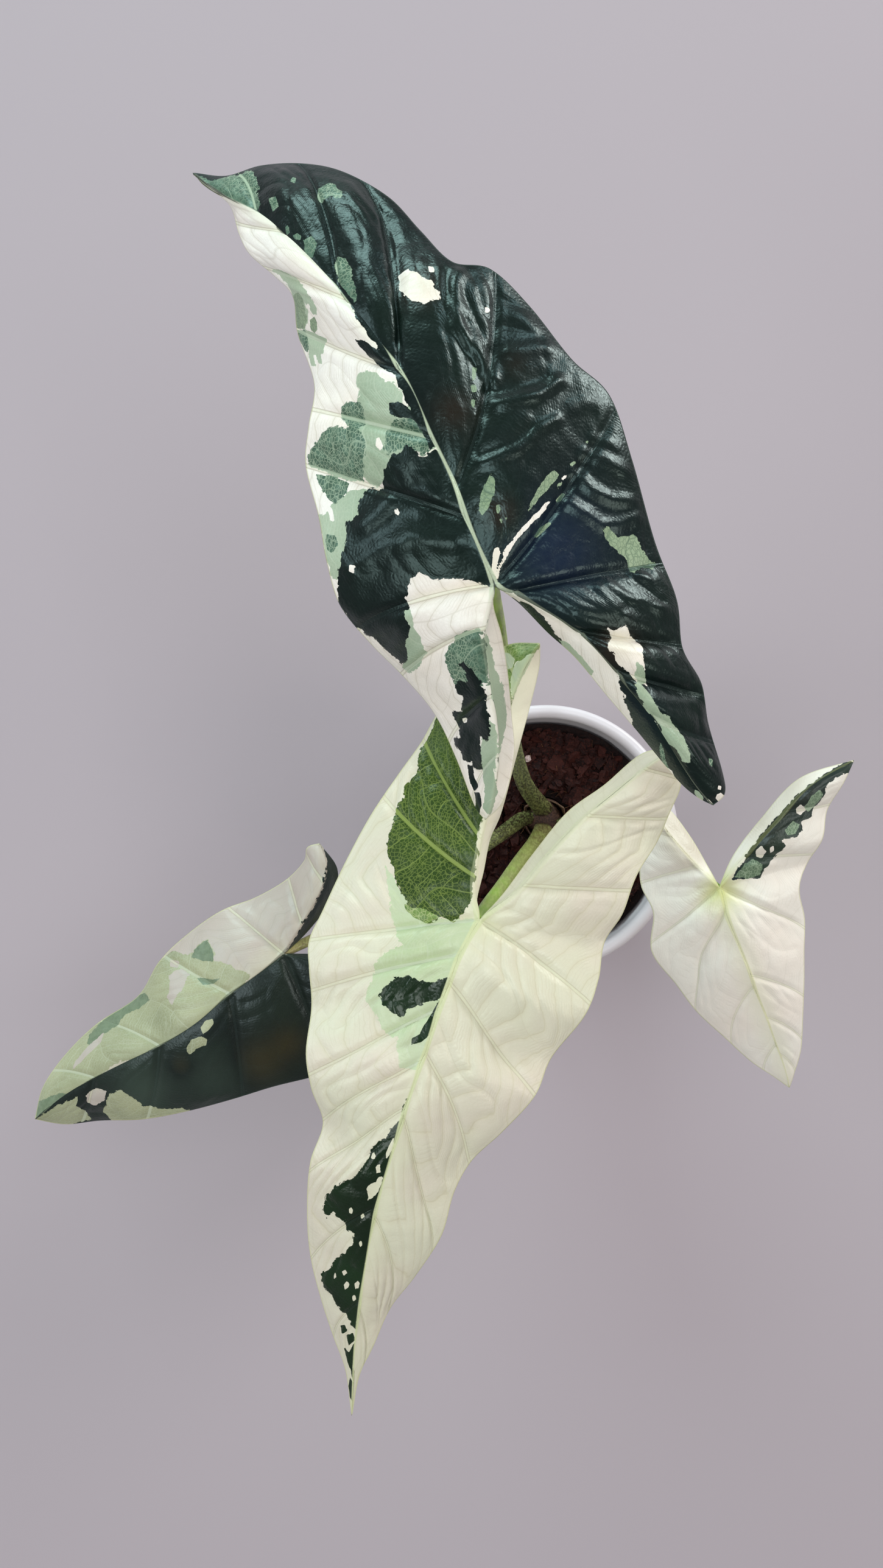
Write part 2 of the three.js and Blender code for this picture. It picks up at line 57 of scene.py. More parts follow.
# %% The eye, and from pixels to millimetres
EYE = np.array([-43.3, 22.2, 800.0])
FOCAL_PIXELS = 2800.0
PHOTO_CENTRE = np.array([725.0, 1288.0])
PHOTO_HEIGHT = 2576.0
SENSOR_MM = 36.0
MM = 0.001


def place(p):
    """[pixels across, pixels down, height] to millimetres: the offset from the middle of the picture,
    times (eye height - height) / focal length, added to the eye's own place."""
    p = np.asarray(p, float)
    scale = (EYE[2] - p[..., 2]) / FOCAL_PIXELS
    x = EYE[0] + (p[..., 0] - PHOTO_CENTRE[0]) * scale
    y = EYE[1] - (p[..., 1] - PHOTO_CENTRE[1]) * scale
    return np.stack([x, y, p[..., 2]], -1)


camera = bpy.data.objects.new("camera", bpy.data.cameras.new("camera"))
camera.data.sensor_width = SENSOR_MM
camera.data.lens = SENSOR_MM * FOCAL_PIXELS / PHOTO_HEIGHT
camera.location = EYE * MM
bpy.context.scene.collection.objects.link(camera)
bpy.context.scene.camera = camera
print("lens", round(camera.data.lens, 2), "mm")

# %% [markdown]
# ## Curves, bumps, noise and meshes
#
# A few pieces of arithmetic carry the whole plant: a smooth curve through given points, a ramp that
# eases in and out, a bump, and a soft random relief. Each works on whole arrays at once. A mesh is made
# from arrays too: foreach_set fills Blender's lists in one go, far faster than point by point.

# %% Curves, bumps and noise


def curve(through, t):
    """A curve through all points, t from 0 to 1. Between two of them it is a cubic, and its slope at
    each is half the step from the point before to the point after."""
    p = np.asarray(through, float)
    p = np.vstack([2 * p[0] - p[1], p, 2 * p[-1] - p[-2]])
    t = np.asarray(t, float) * (len(through) - 1)
    i = np.clip(t.astype(int), 0, len(through) - 2)
    u = (t - i)[..., None]
    a, b, c, d = p[i], p[i + 1], p[i + 2], p[i + 3]
    return 0.5 * (2 * b + (c - a) * u + (2 * a - 5 * b + 4 * c - d) * u**2 + (3 * b - a - 3 * c + d) * u**3)


def ease(low, high, x):
    """0 below low, 1 above high, and 3u^2 - 2u^3 between."""
    u = np.clip((x - low) / (high - low), 0, 1)
    return u * u * (3 - 2 * u)


def bump(distance, width):
    """A round bump, exp(-(distance / width)^2): 1 at distance 0, and near nothing beyond 2 widths."""
    return np.exp(-((distance / width) ** 2))


def soft_noise(p, size, seed, waves=14):
    """A soft random relief, about -1 to 1: a sum of plane waves of random directions whose lengths lie
    round size."""
    draw = np.random.default_rng(seed)
    way = draw.normal(size=(waves, p.shape[-1]))
    way /= np.linalg.norm(way, axis=1, keepdims=True)
    pace = 2 * np.pi / (size * draw.uniform(0.7, 1.6, waves))
    start = draw.uniform(0, 2 * np.pi, waves)
    total = np.zeros(p.shape[:-1])
    for k in range(waves):
        total += np.sin(p @ way[k] * pace[k] + start[k])
    return total / math.sqrt(waves)


print("a bump at 0, 1 and 2 widths:", bump(np.array([0, 1, 2]), 1).round(2))

# %% From arrays to a mesh


def make_mesh(name, points_mm, quads, triangles=(), smooth=True):
    """A mesh object from points in millimetres and from lists of faces."""
    quads = np.asarray(quads, np.int32).reshape(-1, 4)
    triangles = np.asarray(triangles, np.int32).reshape(-1, 3)
    mesh = bpy.data.meshes.new(name)
    mesh.vertices.add(len(points_mm))
    mesh.vertices.foreach_set("co", (np.asarray(points_mm) * MM).astype(np.float32).ravel())
    corners = np.concatenate([quads.ravel(), triangles.ravel()])
    sizes = np.concatenate([np.full(len(quads), 4), np.full(len(triangles), 3)])
    mesh.loops.add(len(corners))
    mesh.loops.foreach_set("vertex_index", corners)
    mesh.polygons.add(len(sizes))
    mesh.polygons.foreach_set("loop_start", np.concatenate([[0], np.cumsum(sizes)[:-1]]))
    mesh.polygons.foreach_set("use_smooth", np.full(len(sizes), smooth))
    mesh.update(calc_edges=True)
    mesh.validate()
    piece = bpy.data.objects.new(name, mesh)
    bpy.context.scene.collection.objects.link(piece)
    print(f"{name}: {int((sizes - 2).sum())} triangles")
    return piece


def give(piece, name, values):
    """Keeps one number for each vertex, for the piece's material to read."""
    layer = piece.data.attributes.new(name, "FLOAT", "POINT")
    layer.data.foreach_set("value", np.asarray(values, np.float32).ravel())


def cells(grid):
    """The quads between the rows and columns of a grid of vertex numbers. Where row numbers grow along x
    and column numbers along y they face up, and those of the same grid turned over (.T) face down."""
    return np.stack([grid[:-1, :-1], grid[1:, :-1], grid[1:, 1:], grid[:-1, 1:]], -1).reshape(-1, 4)


def tube_quads(grid):
    """The quads of a tube, whose rings are the grid's rows: its first column follows its last."""
    return cells(np.hstack([grid, grid[:, :1]]).T)


# %% [markdown]
# ## The four blades, as points
#
# Each blade has a midrib from its tip to the junction with the stalk. There the two back ribs start,
# one into each back lobe. The outer margin runs from the tip round to the end of the lobe, and the
# inner margin from there back to the junction. Ribs and margins have the same points as the solids.
# The first side is the left or upper half, the second the right or lower one. For each side vein, a
# pair says where it leaves the rib and where it meets the margin, counted in points of the two ribs.

# %% How points are written


def points(text):
    """Points as in an SVG outline: pixels across,down or across,down,height, with spaces between."""
    return np.array([point.split(",") for point in text.split()], float)


print("two points:", points("317,285,318 352,310,324").tolist())

# %% The tallest leaf
top_leaf = {
    "midrib": points("""
        317,285,318 352,310,324 400,337,332 455,372,342 510,425,351 560,482,358 600,531,363
        640,585,367 675,638,370 712,720,372 745,795,373 780,885,373 812,960,371"""),
    "sides": [{
        "rib": points("""
            800,1005,370 792,1050,367 800,1110,362 812,1175,356 817,1240,349 808,1312,341 797,1346,335"""),
        "outer": points("""
            345,309,321 379,338,322 394,385,328 412,418,333 452,453,337 482,487,342 490,548,338
            517,630,345 508,700,348 503,765,346 524,848,350 538,925,352 560,995,350 610,1057,344
            660,1107,338 712,1168,336 748,1240,335 779,1320,334"""),
        "inner": points("809,995,367 823,1045,362 833,1108,355 839,1175,347 843,1240,341 826,1314,337"),
        "veins": points("""
            0,0 1.5,1.2 3.2,2.6 5.2,4.6 7.5,6.9 9,8.6 10.6,10 12,13.6 13.6,15 15.5,16.7 17,17.9 19,19"""),
    }, {
        "rib": points("""
            864,982,371 932,1022,369 979,1062,366 1030,1124,362 1073,1178,357 1135,1275,348
            1171,1322,342"""),
        "outer": points("""
            372,290,322 430,273,326 500,270,332 565,284,338 638,325,343 690,380,349 742,431,357
            805,443,355 869,504,354 938,591,356 1000,650,354 1037,756,355 1074,889,353 1110,985,352
            1120,1065,352 1151,1124,349 1162,1189,345 1185,1268,343 1189,1303,342"""),
        "inner": points("""
            853,990,366 900,1038,361 946,1080,358 1000,1145,354 1047,1200,350 1112,1279,345
            1145,1308,343"""),
        "veins": points("""
            0,0 2.4,1.2 4.9,2.7 7.4,4.2 10.1,7.7 12,10.7 12.6,12.7 14.4,14.2 15.7,15.5 17,16.5 19,19"""),
    }],
}

# %% The pale leaf over the front of the pot
centre_leaf = {
    "midrib": points("""
        578,2325,262 580,2264,270 583,2205,279 590,2150,288 599,2085,296 610,2022,303 625,1958,309
        645,1890,314 667,1818,318 690,1750,320 717,1672,321 742,1600,321 765,1550,320 787,1512,318"""),
    "sides": [{
        "rib": points("""
            777,1470,317 780,1425,316 788,1375,315 802,1320,313 818,1245,311 837,1155,309 860,1097,308
            886,1057,306"""),
        "outer": points("""
            568,2250,270 548,2195,276 527,2130,283 510,2060,288 505,1985,296 510,1910,303 531,1845,303
            512,1788,310 503,1730,313 512,1655,309 508,1590,312 508,1545,310 530,1497,309 570,1412,306
            612,1335,307 655,1272,304 692,1220,302 725,1163,301 775,1100,301 832,1061,303"""),
        "inner": points("""
            782,1480,315 793,1432,312 804,1378,308 822,1335,304 845,1250,301 868,1165,300 884,1098,302"""),
        "veins": points("""
            0,0 3.2,2 5.6,3.9 8,5.8 9.1,7.1 10.2,8.4 11.6,10.4 13,12 14.7,15.4 16,17.1 18,18.4
            19.6,19.9 21,21"""),
    }, {
        "rib": points("851,1465,318 900,1408,319 955,1350,319 1010,1305,318 1070,1256,316 1112,1232,313"),
        "outer": points("""
            589,2262,270 612,2212,277 640,2149,281 681,2096,289 724,2030,298 745,1958,302 775,1905,303
            825,1858,309 878,1800,313 905,1737,309 960,1668,313 982,1610,311 992,1548,307
            1022,1500,311 1045,1438,312 1078,1383,308 1099,1335,311 1118,1285,311"""),
        "inner": points("826,1470,315 876,1403,314 932,1335,314 993,1290,314 1056,1238,313"),
        "veins": points("""
            0,0 3,1.4 5.4,2.9 7.8,4.6 9.3,6.9 10.8,9 13,11.3 14.2,14.6 16.2,16.8 17.8,18.1 19,19"""),
    }],
}

# %% The older leaf on the left, and the smallest one on the right
left_leaf = {
    "midrib": points("""
        58,1838,184 105,1800,192 150,1773,199 205,1745,206 262,1718,212 320,1682,217 373,1637,220
        423,1600,222 466,1567,222"""),
    "sides": [{
        "rib": points("490,1525,223 518,1477,223 534,1430,221 524,1386,218"),
        "outer": points("""
            72,1785,184 108,1733,188 160,1682,194 227,1637,199 262,1580,207 305,1538,209 363,1497,212
            420,1475,211 470,1446,213 500,1415,215 505,1393,217"""),
        "inner": points("507,1527,218 545,1475,214 553,1428,214"),
        "veins": points("0,0 2.1,1.5 4,3.1 6.1,5.2 8,7.2 9.2,9.1 10.6,10.5 12,12"),
    }, {
        "rib": points("530,1585,222 585,1610,221 630,1630,218 655,1642,215"),
        "outer": points("""
            108,1846,182 165,1840,186 235,1838,193 310,1824,198 385,1804,202 450,1784,206 515,1768,205
            580,1748,208 625,1716,208 650,1682,211 660,1660,213"""),
        "inner": points("535,1570,219 600,1587,216 645,1612,214"),
        "veins": points("0,0 2.1,1.5 4,3.1 6.1,5.2 8,7.4 9.3,9.4 10.6,10.6 12,12"),
    }],
}
right_leaf = {
    "midrib": points("""
        1296,1786,164 1290,1760,170 1277,1722,177 1262,1682,184 1246,1640,190 1230,1597,195
        1213,1553,198 1196,1510,200 1181,1458,200"""),
    "sides": [{
        "rib": points("1150,1430,201 1118,1396,201 1086,1355,199 1056,1312,196"),
        "outer": points("""
            1272,1769,167 1232,1742,171 1188,1702,178 1143,1660,183 1110,1616,188 1070,1562,190
            1073,1500,194 1053,1455,192 1050,1410,194 1044,1370,192 1042,1332,193"""),
        "inner": points("1162,1424,199 1132,1373,197 1095,1327,195"),
        "veins": points("0,0 2.2,1.5 4.5,2.7 7.3,4 8,6.2 9.2,8.1 10.6,10.3 12,12"),
    }, {
        "rib": points("1222,1410,202 1270,1358,203 1325,1297,203 1402,1249,199"),
        "outer": points("""
            1303,1765,167 1315,1722,172 1318,1668,179 1320,1615,184 1320,1562,188 1321,1510,190
            1312,1460,195 1325,1418,192 1350,1378,196 1358,1330,195 1384,1287,199"""),
        "inner": points("1205,1405,199 1248,1348,198 1312,1280,198"),
        "veins": points("0,0 1.8,1.2 3.3,2.3 4.9,3.6 8,5.7 9.1,8.4 10.4,10.2 12,12"),
    }],
}
leaves = {"top": top_leaf, "centre": centre_leaf, "left": left_leaf, "right": right_leaf}
print({name: len(leaf["midrib"]) for name, leaf in leaves.items()}, "midrib points")

# %% [markdown]
# ## The patches of colour, as points
#
# The variegation is not painted with a picture. Each patch is an outline of a few points in the same
# pixels as the leaf. Paint goes on in order: sage, then green, then the darker net green, then
# near-black, and cream puts the bare ground back. How far a vertex lies inside or outside a patch is
# kept with the mesh, and the material turns that distance into a crisp, jagged edge.

# %% Patches of the tallest leaf
top_patches = [
    ("net", "316,288 350,298 405,284 418,285 428,310 424,320 431,338 425,352 400,340 365,320 335,303"),
    ("net", """
        521,330 524,316 540,304 549,306 554,315 564,320 562,331 553,332 547,325 540,331 533,338
        526,337"""),
    ("net", "478,300 483,296 488,299 486,306 479,305"),
    ("net", "470,374 475,371 477,383 473,386"),
    ("net", "483,388 489,384 496,389 494,395 486,394"),
    ("net", "444,329 456,327 461,342 450,350"),
    ("net", "500,396 512,388 521,402 515,425 503,418"),
    ("net", "549,438 558,424 571,428 578,447 588,482 586,500 572,484 557,465"),
    ("cream", """
        657,456 670,447 684,450 692,458 706,463 722,480 720,493 708,494 699,503 688,496 672,494
        657,480"""),
    ("cream", "703,440 712,441 714,449 705,450"),
    ("cream", "795,508 801,508 801,517 795,517"),
    ("green", "774,602 782,604 780,622 773,626"),
    ("green", "771,632 780,634 782,644 774,648"),
    ("green", "773,656 779,656 777,672 772,668"),
    ("green", "806,775 812,790 812,812 804,830 791,851 785,836 789,812 799,790"),
    ("green", "814,832 819,826 822,838 816,848"),
    ("cream", "811,900 819,897 820,908 815,930 812,946 807,940 808,918"),
    ("cream", """
        894,825 901,824 893,838 882,849 868,862 853,880 843,892 835,906 828,919 822,931 819,942
        817,951 813,950 815,938 819,927 826,914 830,906 825,911 824,908 831,898 840,887 850,873
        864,857 880,841"""),
    ("green", "820,853 824,850 824,861 821,860"),
    ("green", "827,845 832,850 832,857 828,852"),
    ("green", "916,793 921,794 914,805 911,802"),
    ("cream", "927,779 930,782 921,793 919,790"),
    ("green", "908,774 917,780 905,797 885,817 868,838 862,850 868,828 884,800 896,782"),
    ("green", "874,884 885,868 905,856 905,864 893,874 882,885"),
    ("green", "912,822 922,810 929,812 922,822 914,826"),
    ("green", "934,765 942,755 944,760 937,770"),
    ("green", "960,726 965,724 964,732 960,733"),
    ("green", """
        985,868 996,865 1004,872 1012,884 1022,881 1037,878 1048,896 1055,914 1075,928 1069,937
        1052,931 1041,944 1032,941 1029,922 1016,911 1004,897 993,882"""),
    ("cream", """
        996,1029 1010,1034 1026,1027 1034,1040 1043,1056 1052,1064 1053,1082 1056,1096 1055,1110
        1062,1128 1040,1119 1028,1100 1014,1082 998,1062 1003,1048"""),
    ("sage", "1044,1088 1054,1094 1061,1122 1050,1126 1042,1110"),
    ("sage", """
        1047,1118 1058,1134 1072,1150 1084,1168 1098,1176 1106,1188 1120,1210 1131,1238 1133,1252
        1122,1252 1112,1230 1098,1217 1085,1196 1070,1172 1056,1150 1040,1126"""),
    ("cream", """
        815,955 830,950 880,975 920,1000 960,1030 1000,1060 1026,1090 1017,1109 1022,1130 1030,1155
        1036,1172 1042,1192 1048,1205 1040,1215 1010,1180 970,1130 940,1090 910,1060 880,1030 850,1000
        820,985""", "inner"),
    ("dark", """
        842,982 858,988 870,992 888,1006 903,1022 918,1044 932,1060 944,1078 950,1090 935,1088
        905,1060 880,1036 855,1010 838,992""", "inner"),
    ("sage", "918,1048 936,1056 958,1080 976,1102 972,1108 946,1086 926,1064", "inner"),
    ("cream", "1176,1304 1182,1301 1188,1306 1186,1314 1178,1316 1174,1310"),
    ("cream", "1178,1290 1183,1291 1182,1297 1177,1296"),
    ("sage", "1142,1296 1148,1299 1156,1309 1154,1316 1146,1310 1141,1302", "inner"),
    ("net", "1162,1246 1168,1248 1168,1260 1163,1257"),
    ("net", "1086,1218 1091,1228 1094,1246 1100,1262 1094,1262 1088,1248 1084,1230"),
    ("cream", "1093,1258 1104,1264 1112,1280 1106,1285 1096,1274"),
    # The folded half: sage and net green on cream, and near-black in its middle
    ("sage", """
        449,444 466,444 484,455 499,470 511,487 520,505 522,517 516,515 508,499 500,489 507,508
        509,525 503,539 490,541 481,524 480,500 482,481 476,466 462,453"""),
    ("green", "484,484 492,481 499,492 503,505 507,522 503,537 490,541 482,526 481,505"),
    ("green", "511,525 517,520 522,528 524,540 519,547 514,541"),
    ("net", "488,541 503,543 508,564 517,582 506,579 493,558"),
    ("sage", """
        503,542 520,547 538,556 535,570 534,581 528,582 530,598 524,596 521,583 516,583 520,602
        513,600 508,582 510,566"""),
    ("sage", """
        590,617 600,612 616,614 632,626 650,632 660,646 664,665 684,672 704,698 712,735 690,742
        665,735 648,752 632,790 614,800 598,782 590,745 594,705 586,680 592,650"""),
    ("net", "566,668 576,660 592,662 600,672 598,700 590,706 575,702 563,690"),
    ("net", """
        510,745 520,728 530,716 546,706 560,704 585,706 598,720 599,752 596,792 578,789 548,780
        520,768 508,760"""),
    ("net", "520,778 545,783 575,795 568,815 552,826 540,820 530,800"),
    ("net", """
        636,715 642,700 655,690 672,688 690,696 702,715 707,738 695,745 672,738 655,736 640,745
        632,738"""),
    ("cream", "620,722 626,720 631,735 626,740 619,732"),
    ("sage", """
        552,826 575,810 602,806 600,830 590,852 572,862 570,890 562,920 556,950 545,945 538,915
        530,880 526,850 538,845 545,835"""),
    ("net", "536,878 552,880 556,896 546,908 538,902"),
    ("cream", "540,834 548,836 550,856 543,858"),
    ("dark", "586,558 600,560 615,570 640,588 660,600 675,622 650,616 628,604 618,596 606,580 594,568"),
    ("dark", "641,662 655,660 666,668 686,682 702,700 690,696 672,686 655,684 642,680"),
    ("dark", """
        668,735 688,748 700,748 716,738 755,795 795,880 828,955 806,962 775,949 740,948 712,950
        690,940 676,950 670,972 664,980 672,1000 674,1030 668,1060 673,1082 668,1092 640,1068 618,1048
        596,1032 576,1024 560,990 557,960 562,918 572,888 574,860 590,846 594,818 606,803 630,808
        634,792 632,772 645,752 656,746"""),
    ("dark", "566,476 595,508 632,556 656,590 634,586 601,546 573,500"),
    ("dark", "660,600 695,660 724,735 706,736 676,672 646,612"),
    ("cream", "575,928 584,930 582,942 576,940"),
    ("cream", "648,838 656,836 656,845 650,847"),
    ("sage", """
        664,1000 676,1002 680,1030 690,1045 700,1072 690,1092 676,1104 662,1096 672,1080 668,1060
        674,1030"""),
    ("sage", """
        796,1040 806,1072 812,1100 822,1130 828,1165 827,1195 822,1222 814,1240 808,1205 800,1160
        792,1110 786,1060""", "inner"),
    ("net", """
        737,1066 748,1046 765,1038 788,1032 793,1060 796,1090 800,1120 788,1120 770,1122 756,1128
        746,1108 736,1088"""),
    ("sage", "800,1180 812,1190 816,1230 812,1262 814,1300 804,1335 796,1325 800,1290 794,1262 792,1230"),
    ("dark", """
        757,1090 763,1084 772,1095 784,1112 796,1130 797,1150 804,1180 806,1200 800,1219 790,1207
        786,1196 790,1222 794,1250 792,1264 780,1262 776,1250 770,1252 758,1232 748,1212 762,1212
        752,1190 746,1168 760,1166 764,1140 752,1132 748,1120 758,1116 768,1124 770,1108"""),
    ("dark", "769,1256 778,1258 781,1280 788,1292 780,1300 772,1278"),
    ("dark", "781,1302 790,1302 793,1322 786,1340 780,1330 784,1316"),
    ("cream", "760,1180 768,1178 768,1186 762,1187"),
]

# %% Patches of the pale leaf
centre_patches = [
    ("sage", """
        634,1425 646,1440 660,1470 690,1500 745,1511 782,1512 765,1552 742,1602 717,1674 690,1752
        676,1756 658,1750 656,1722 660,1700 645,1702 630,1686 612,1655 604,1634 611,1614 617,1586
        636,1566 662,1553 652,1540 646,1508"""),
    ("green", """
        723,1150 712,1196 699,1223 691,1239 686,1274 668,1290 662,1317 654,1329 648,1358 638,1387
        641,1407 648,1436 654,1457 666,1473 675,1494 691,1510 704,1514 722,1506 742,1512 762,1502
        770,1480 774,1460 777,1420 782,1375 792,1335 804,1280 822,1200 838,1140 790,1090"""),
    ("net", """
        815,1070 827,1062 842,1055 858,1048 870,1046 889,1050 888,1058 880,1066 873,1076 865,1078
        858,1086 850,1090 843,1099 839,1114 840,1146 830,1150 818,1100"""),
    ("sage", "849,1089 858,1085 865,1077 875,1074 867,1090 856,1110 846,1132 840,1149 838,1122 842,1102"),
    ("sage", "829,1072 838,1074 846,1084 843,1096 834,1100 829,1090"),
    ("net", "660,1480 674,1492 700,1494 722,1506 700,1516 684,1508 668,1496"),
    ("dark", """
        626,1636 636,1622 648,1610 660,1606 672,1606 690,1614 712,1616 738,1605 734,1618 724,1638
        706,1644 690,1650 672,1654 658,1668 646,1664 638,1655 630,1650"""),
    ("dark", "722,1642 718,1660 712,1684 704,1700 690,1712 674,1717 676,1706 690,1698 698,1684 708,1666"),
    ("dark", """
        669,1806 660,1832 646,1856 632,1870 614,1884 608,1904 594,1922 575,1938 551,1950 538,1964
        532,1982 538,1998 548,1990 560,2000 572,2002 570,2017 584,2022 582,2039 566,2058 551,2070
        543,2086 530,2092 533,2112 545,2122 552,2140 562,2152 572,2158 580,2172 584,2180 590,2150
        597,2100 605,2050 612,2015 622,1970 632,1930 646,1882 662,1834"""),
    ("cream", "603,1952 609,1944 617,1940 622,1932 629,1931 626,1944 621,1956 611,1968 604,1971 605,1962"),
    ("cream", "617,1917 621,1912 626,1911 624,1918 626,1925 619,1926"),
    ("cream", "634,1893 639,1882 645,1869 648,1867 645,1880 640,1895 634,1904"),
    ("cream", "610,1897 615,1893 619,1896 617,1903 612,1903"),
    ("cream", "592,1996 597,1992 600,1997 595,2002"),
    ("cream", "573,1985 577,1981 581,1984 580,1990 575,1991"),
    ("cream", "568,2041 575,2039 573,2045 568,2047"),
    ("cream", "590,2040 594,2036 596,2043 592,2048"),
    ("cream", "562,2088 568,2085 571,2091 565,2095"),
    ("cream", "565,2109 570,2104 575,2107 573,2114 567,2118"),
    ("cream", "583,2108 588,2103 591,2107 589,2114 584,2116"),
    ("cream", "579,2128 584,2126 586,2134 580,2136"),
    ("cream", "549,2092 553,2090 554,2097 550,2099"),
    ("dark", "561,2176 568,2174 572,2184 564,2188"),
    ("dark", "570,2192 580,2188 583,2200 574,2208"),
    ("dark", "566,2212 574,2220 580,2208 584,2200 583,2240 581,2270 577,2250 572,2236"),
    ("dark", "576,2262 580,2270 579,2300 576,2296 573,2276"),
]

# %% Patches of the two smaller leaves
left_patches = [
    ("sage", """
        287,1564 312,1572 326,1556 341,1545 351,1564 353,1579 382,1589 412,1600 380,1640 300,1700
        240,1730 190,1745 150,1773 105,1804 55,1842 52,1818 68,1780 105,1728 158,1672 225,1628
        258,1580"""),
    ("cream", "277,1602 288,1596 300,1592 312,1600 306,1614 300,1628 290,1640 284,1652 276,1640 281,1622"),
    ("cream", "279,1577 296,1579 293,1590 280,1589"),
    ("cream", "200,1655 216,1650 214,1662 202,1664"),
    ("net", "240,1632 247,1642 228,1658 205,1667 191,1685 162,1707 147,1717 149,1701 174,1673 204,1646"),
    ("net", "322,1560 341,1545 350,1564 353,1580 334,1577 316,1572"),
    ("cream", "150,1716 172,1696 168,1712 146,1734 122,1756 124,1744"),
    ("net", "322,1606 350,1609 364,1606 352,1616 334,1618"),
    ("net", "60,1812 90,1800 128,1790 148,1778 130,1800 96,1822 62,1834"),
    ("sage", "306,1722 314,1708 330,1702 341,1706 338,1716 322,1722 312,1732"),
    ("sage", "330,1688 338,1676 350,1672 352,1680 342,1692 334,1698"),
    ("sage", "180,1796 200,1790 214,1800 236,1814 262,1820 300,1818 316,1826 240,1842 186,1842 170,1826"),
    ("cream", "142,1796 160,1786 176,1792 172,1806 158,1814 144,1810"),
    ("cream", "98,1822 116,1812 126,1820 112,1834 100,1834"),
    ("sage", "56,1840 92,1816 128,1800 126,1814 140,1824 150,1838 90,1852 58,1852"),
    ("dark", """
        528,1384 538,1414 533,1450 517,1488 492,1526 466,1566 480,1584 520,1568 560,1530 580,1450
        560,1390 540,1376"""),
]
right_patches = [
    ("dark", """
        1203,1443 1221,1443 1247,1441 1254,1424 1262,1415 1278,1398 1289,1389 1284,1379 1303,1374
        1317,1363 1315,1350 1331,1338 1334,1325 1352,1305 1355,1290 1378,1273 1399,1264 1404,1250
        1390,1253 1366,1266 1337,1287 1308,1310 1279,1342 1245,1382 1220,1416"""),
    ("net", "1204,1442 1222,1420 1236,1411 1251,1419 1247,1437 1225,1442"),
    ("net", "1288,1364 1302,1348 1312,1355 1306,1369 1292,1373"),
    ("net", "1320,1324 1331,1306 1346,1296 1352,1304 1338,1322 1326,1334"),
    ("cream", "1240,1397 1250,1389 1257,1397 1251,1410 1241,1408"),
    ("cream", "1307,1328 1314,1320 1323,1330 1314,1339 1308,1336"),
    ("cream", "1262,1392 1269,1388 1270,1396 1264,1400"),
]
# With each leaf's patches goes the side that is near-black all over before they go on, if any
for name, patches, dark_side in (
    ("top", top_patches, 1),
    ("centre", centre_patches, None),
    ("left", left_patches, 1),
    ("right", right_patches, None),
):
    leaves[name].update(patches=patches, dark_side=dark_side)
print({name: len(leaf["patches"]) for name, leaf in leaves.items()}, "patches")

# %% [markdown]
# ## How far a point lies from a line or a patch
#
# Both are needed many times: a fold of the blade is lifted along a line, and a patch of colour is a
# closed outline. Distances are taken on the picture and turned to millimetres at the leaf's height.

# %% Distances
REACH = 14.0


def line_distance(p, line):
    """The shortest distance from each point to a run of straight pieces: the foot of the perpendicular
    on a piece is clamped to its ends, and the least of the distances is kept."""
    a = line[:-1]
    ab = line[1:] - a
    ap = p[:, None] - a[None]
    along = np.clip((ap * ab).sum(-1) / np.maximum((ab * ab).sum(-1), 1e-9), 0, 1)
    return np.sqrt(((ap - along[..., None] * ab) ** 2).sum(-1).min(1))


def patch_distance(p, ring):
    """The distance in pixels to a closed outline, less than 0 inside. A point is inside when a level ray
    from it crosses the outline an odd number of times. Points further off than REACH keep REACH."""
    far = np.full(len(p), REACH)
    near = np.flatnonzero(((p > ring.min(0) - REACH) & (p < ring.max(0) + REACH)).all(1))
    if not len(near):
        return far
    q = p[near]
    a, b = ring, np.roll(ring, -1, 0)
    spans = (a[None, :, 1] > q[:, None, 1]) != (b[None, :, 1] > q[:, None, 1])
    slope = (b[:, 0] - a[:, 0]) / np.where(b[:, 1] == a[:, 1], 1e-9, b[:, 1] - a[:, 1])
    crossing = a[None, :, 0] + (q[:, None, 1] - a[None, :, 1]) * slope[None]
    inside = (spans & (q[:, None, 0] < crossing)).sum(1) % 2 == 1
    distance = line_distance(q, np.vstack([ring, ring[:1]]))
    far[near] = np.where(inside, -distance, np.minimum(distance, REACH))
    return far


print("from 0,3 to a line:", line_distance(points("0,3"), points("-5,0 5,0"))[0])

# %% [markdown]
# ## The blade as a surface
#
# A leaf could be sculpted, or a plane could be cut to its outline and bent. But what makes an alocasia
# is its order: a rib, side veins at their own places, and a blade that puckers up between them. So the
# surface is worked out. One parameter runs along the rib, the other across from rib to margin, and the
# side veins are lines on that grid. Everything else, the sunk veins, the puckers and later the colour,
# is a formula of where a point lies between two veins.

# %% One side of a blade as a grid
# Inside the lobes the vein number stays at a half, and a blade has its full pucker from this width on
NO_VEIN = 60.5
FULL_WIDTH_PIXELS = 120


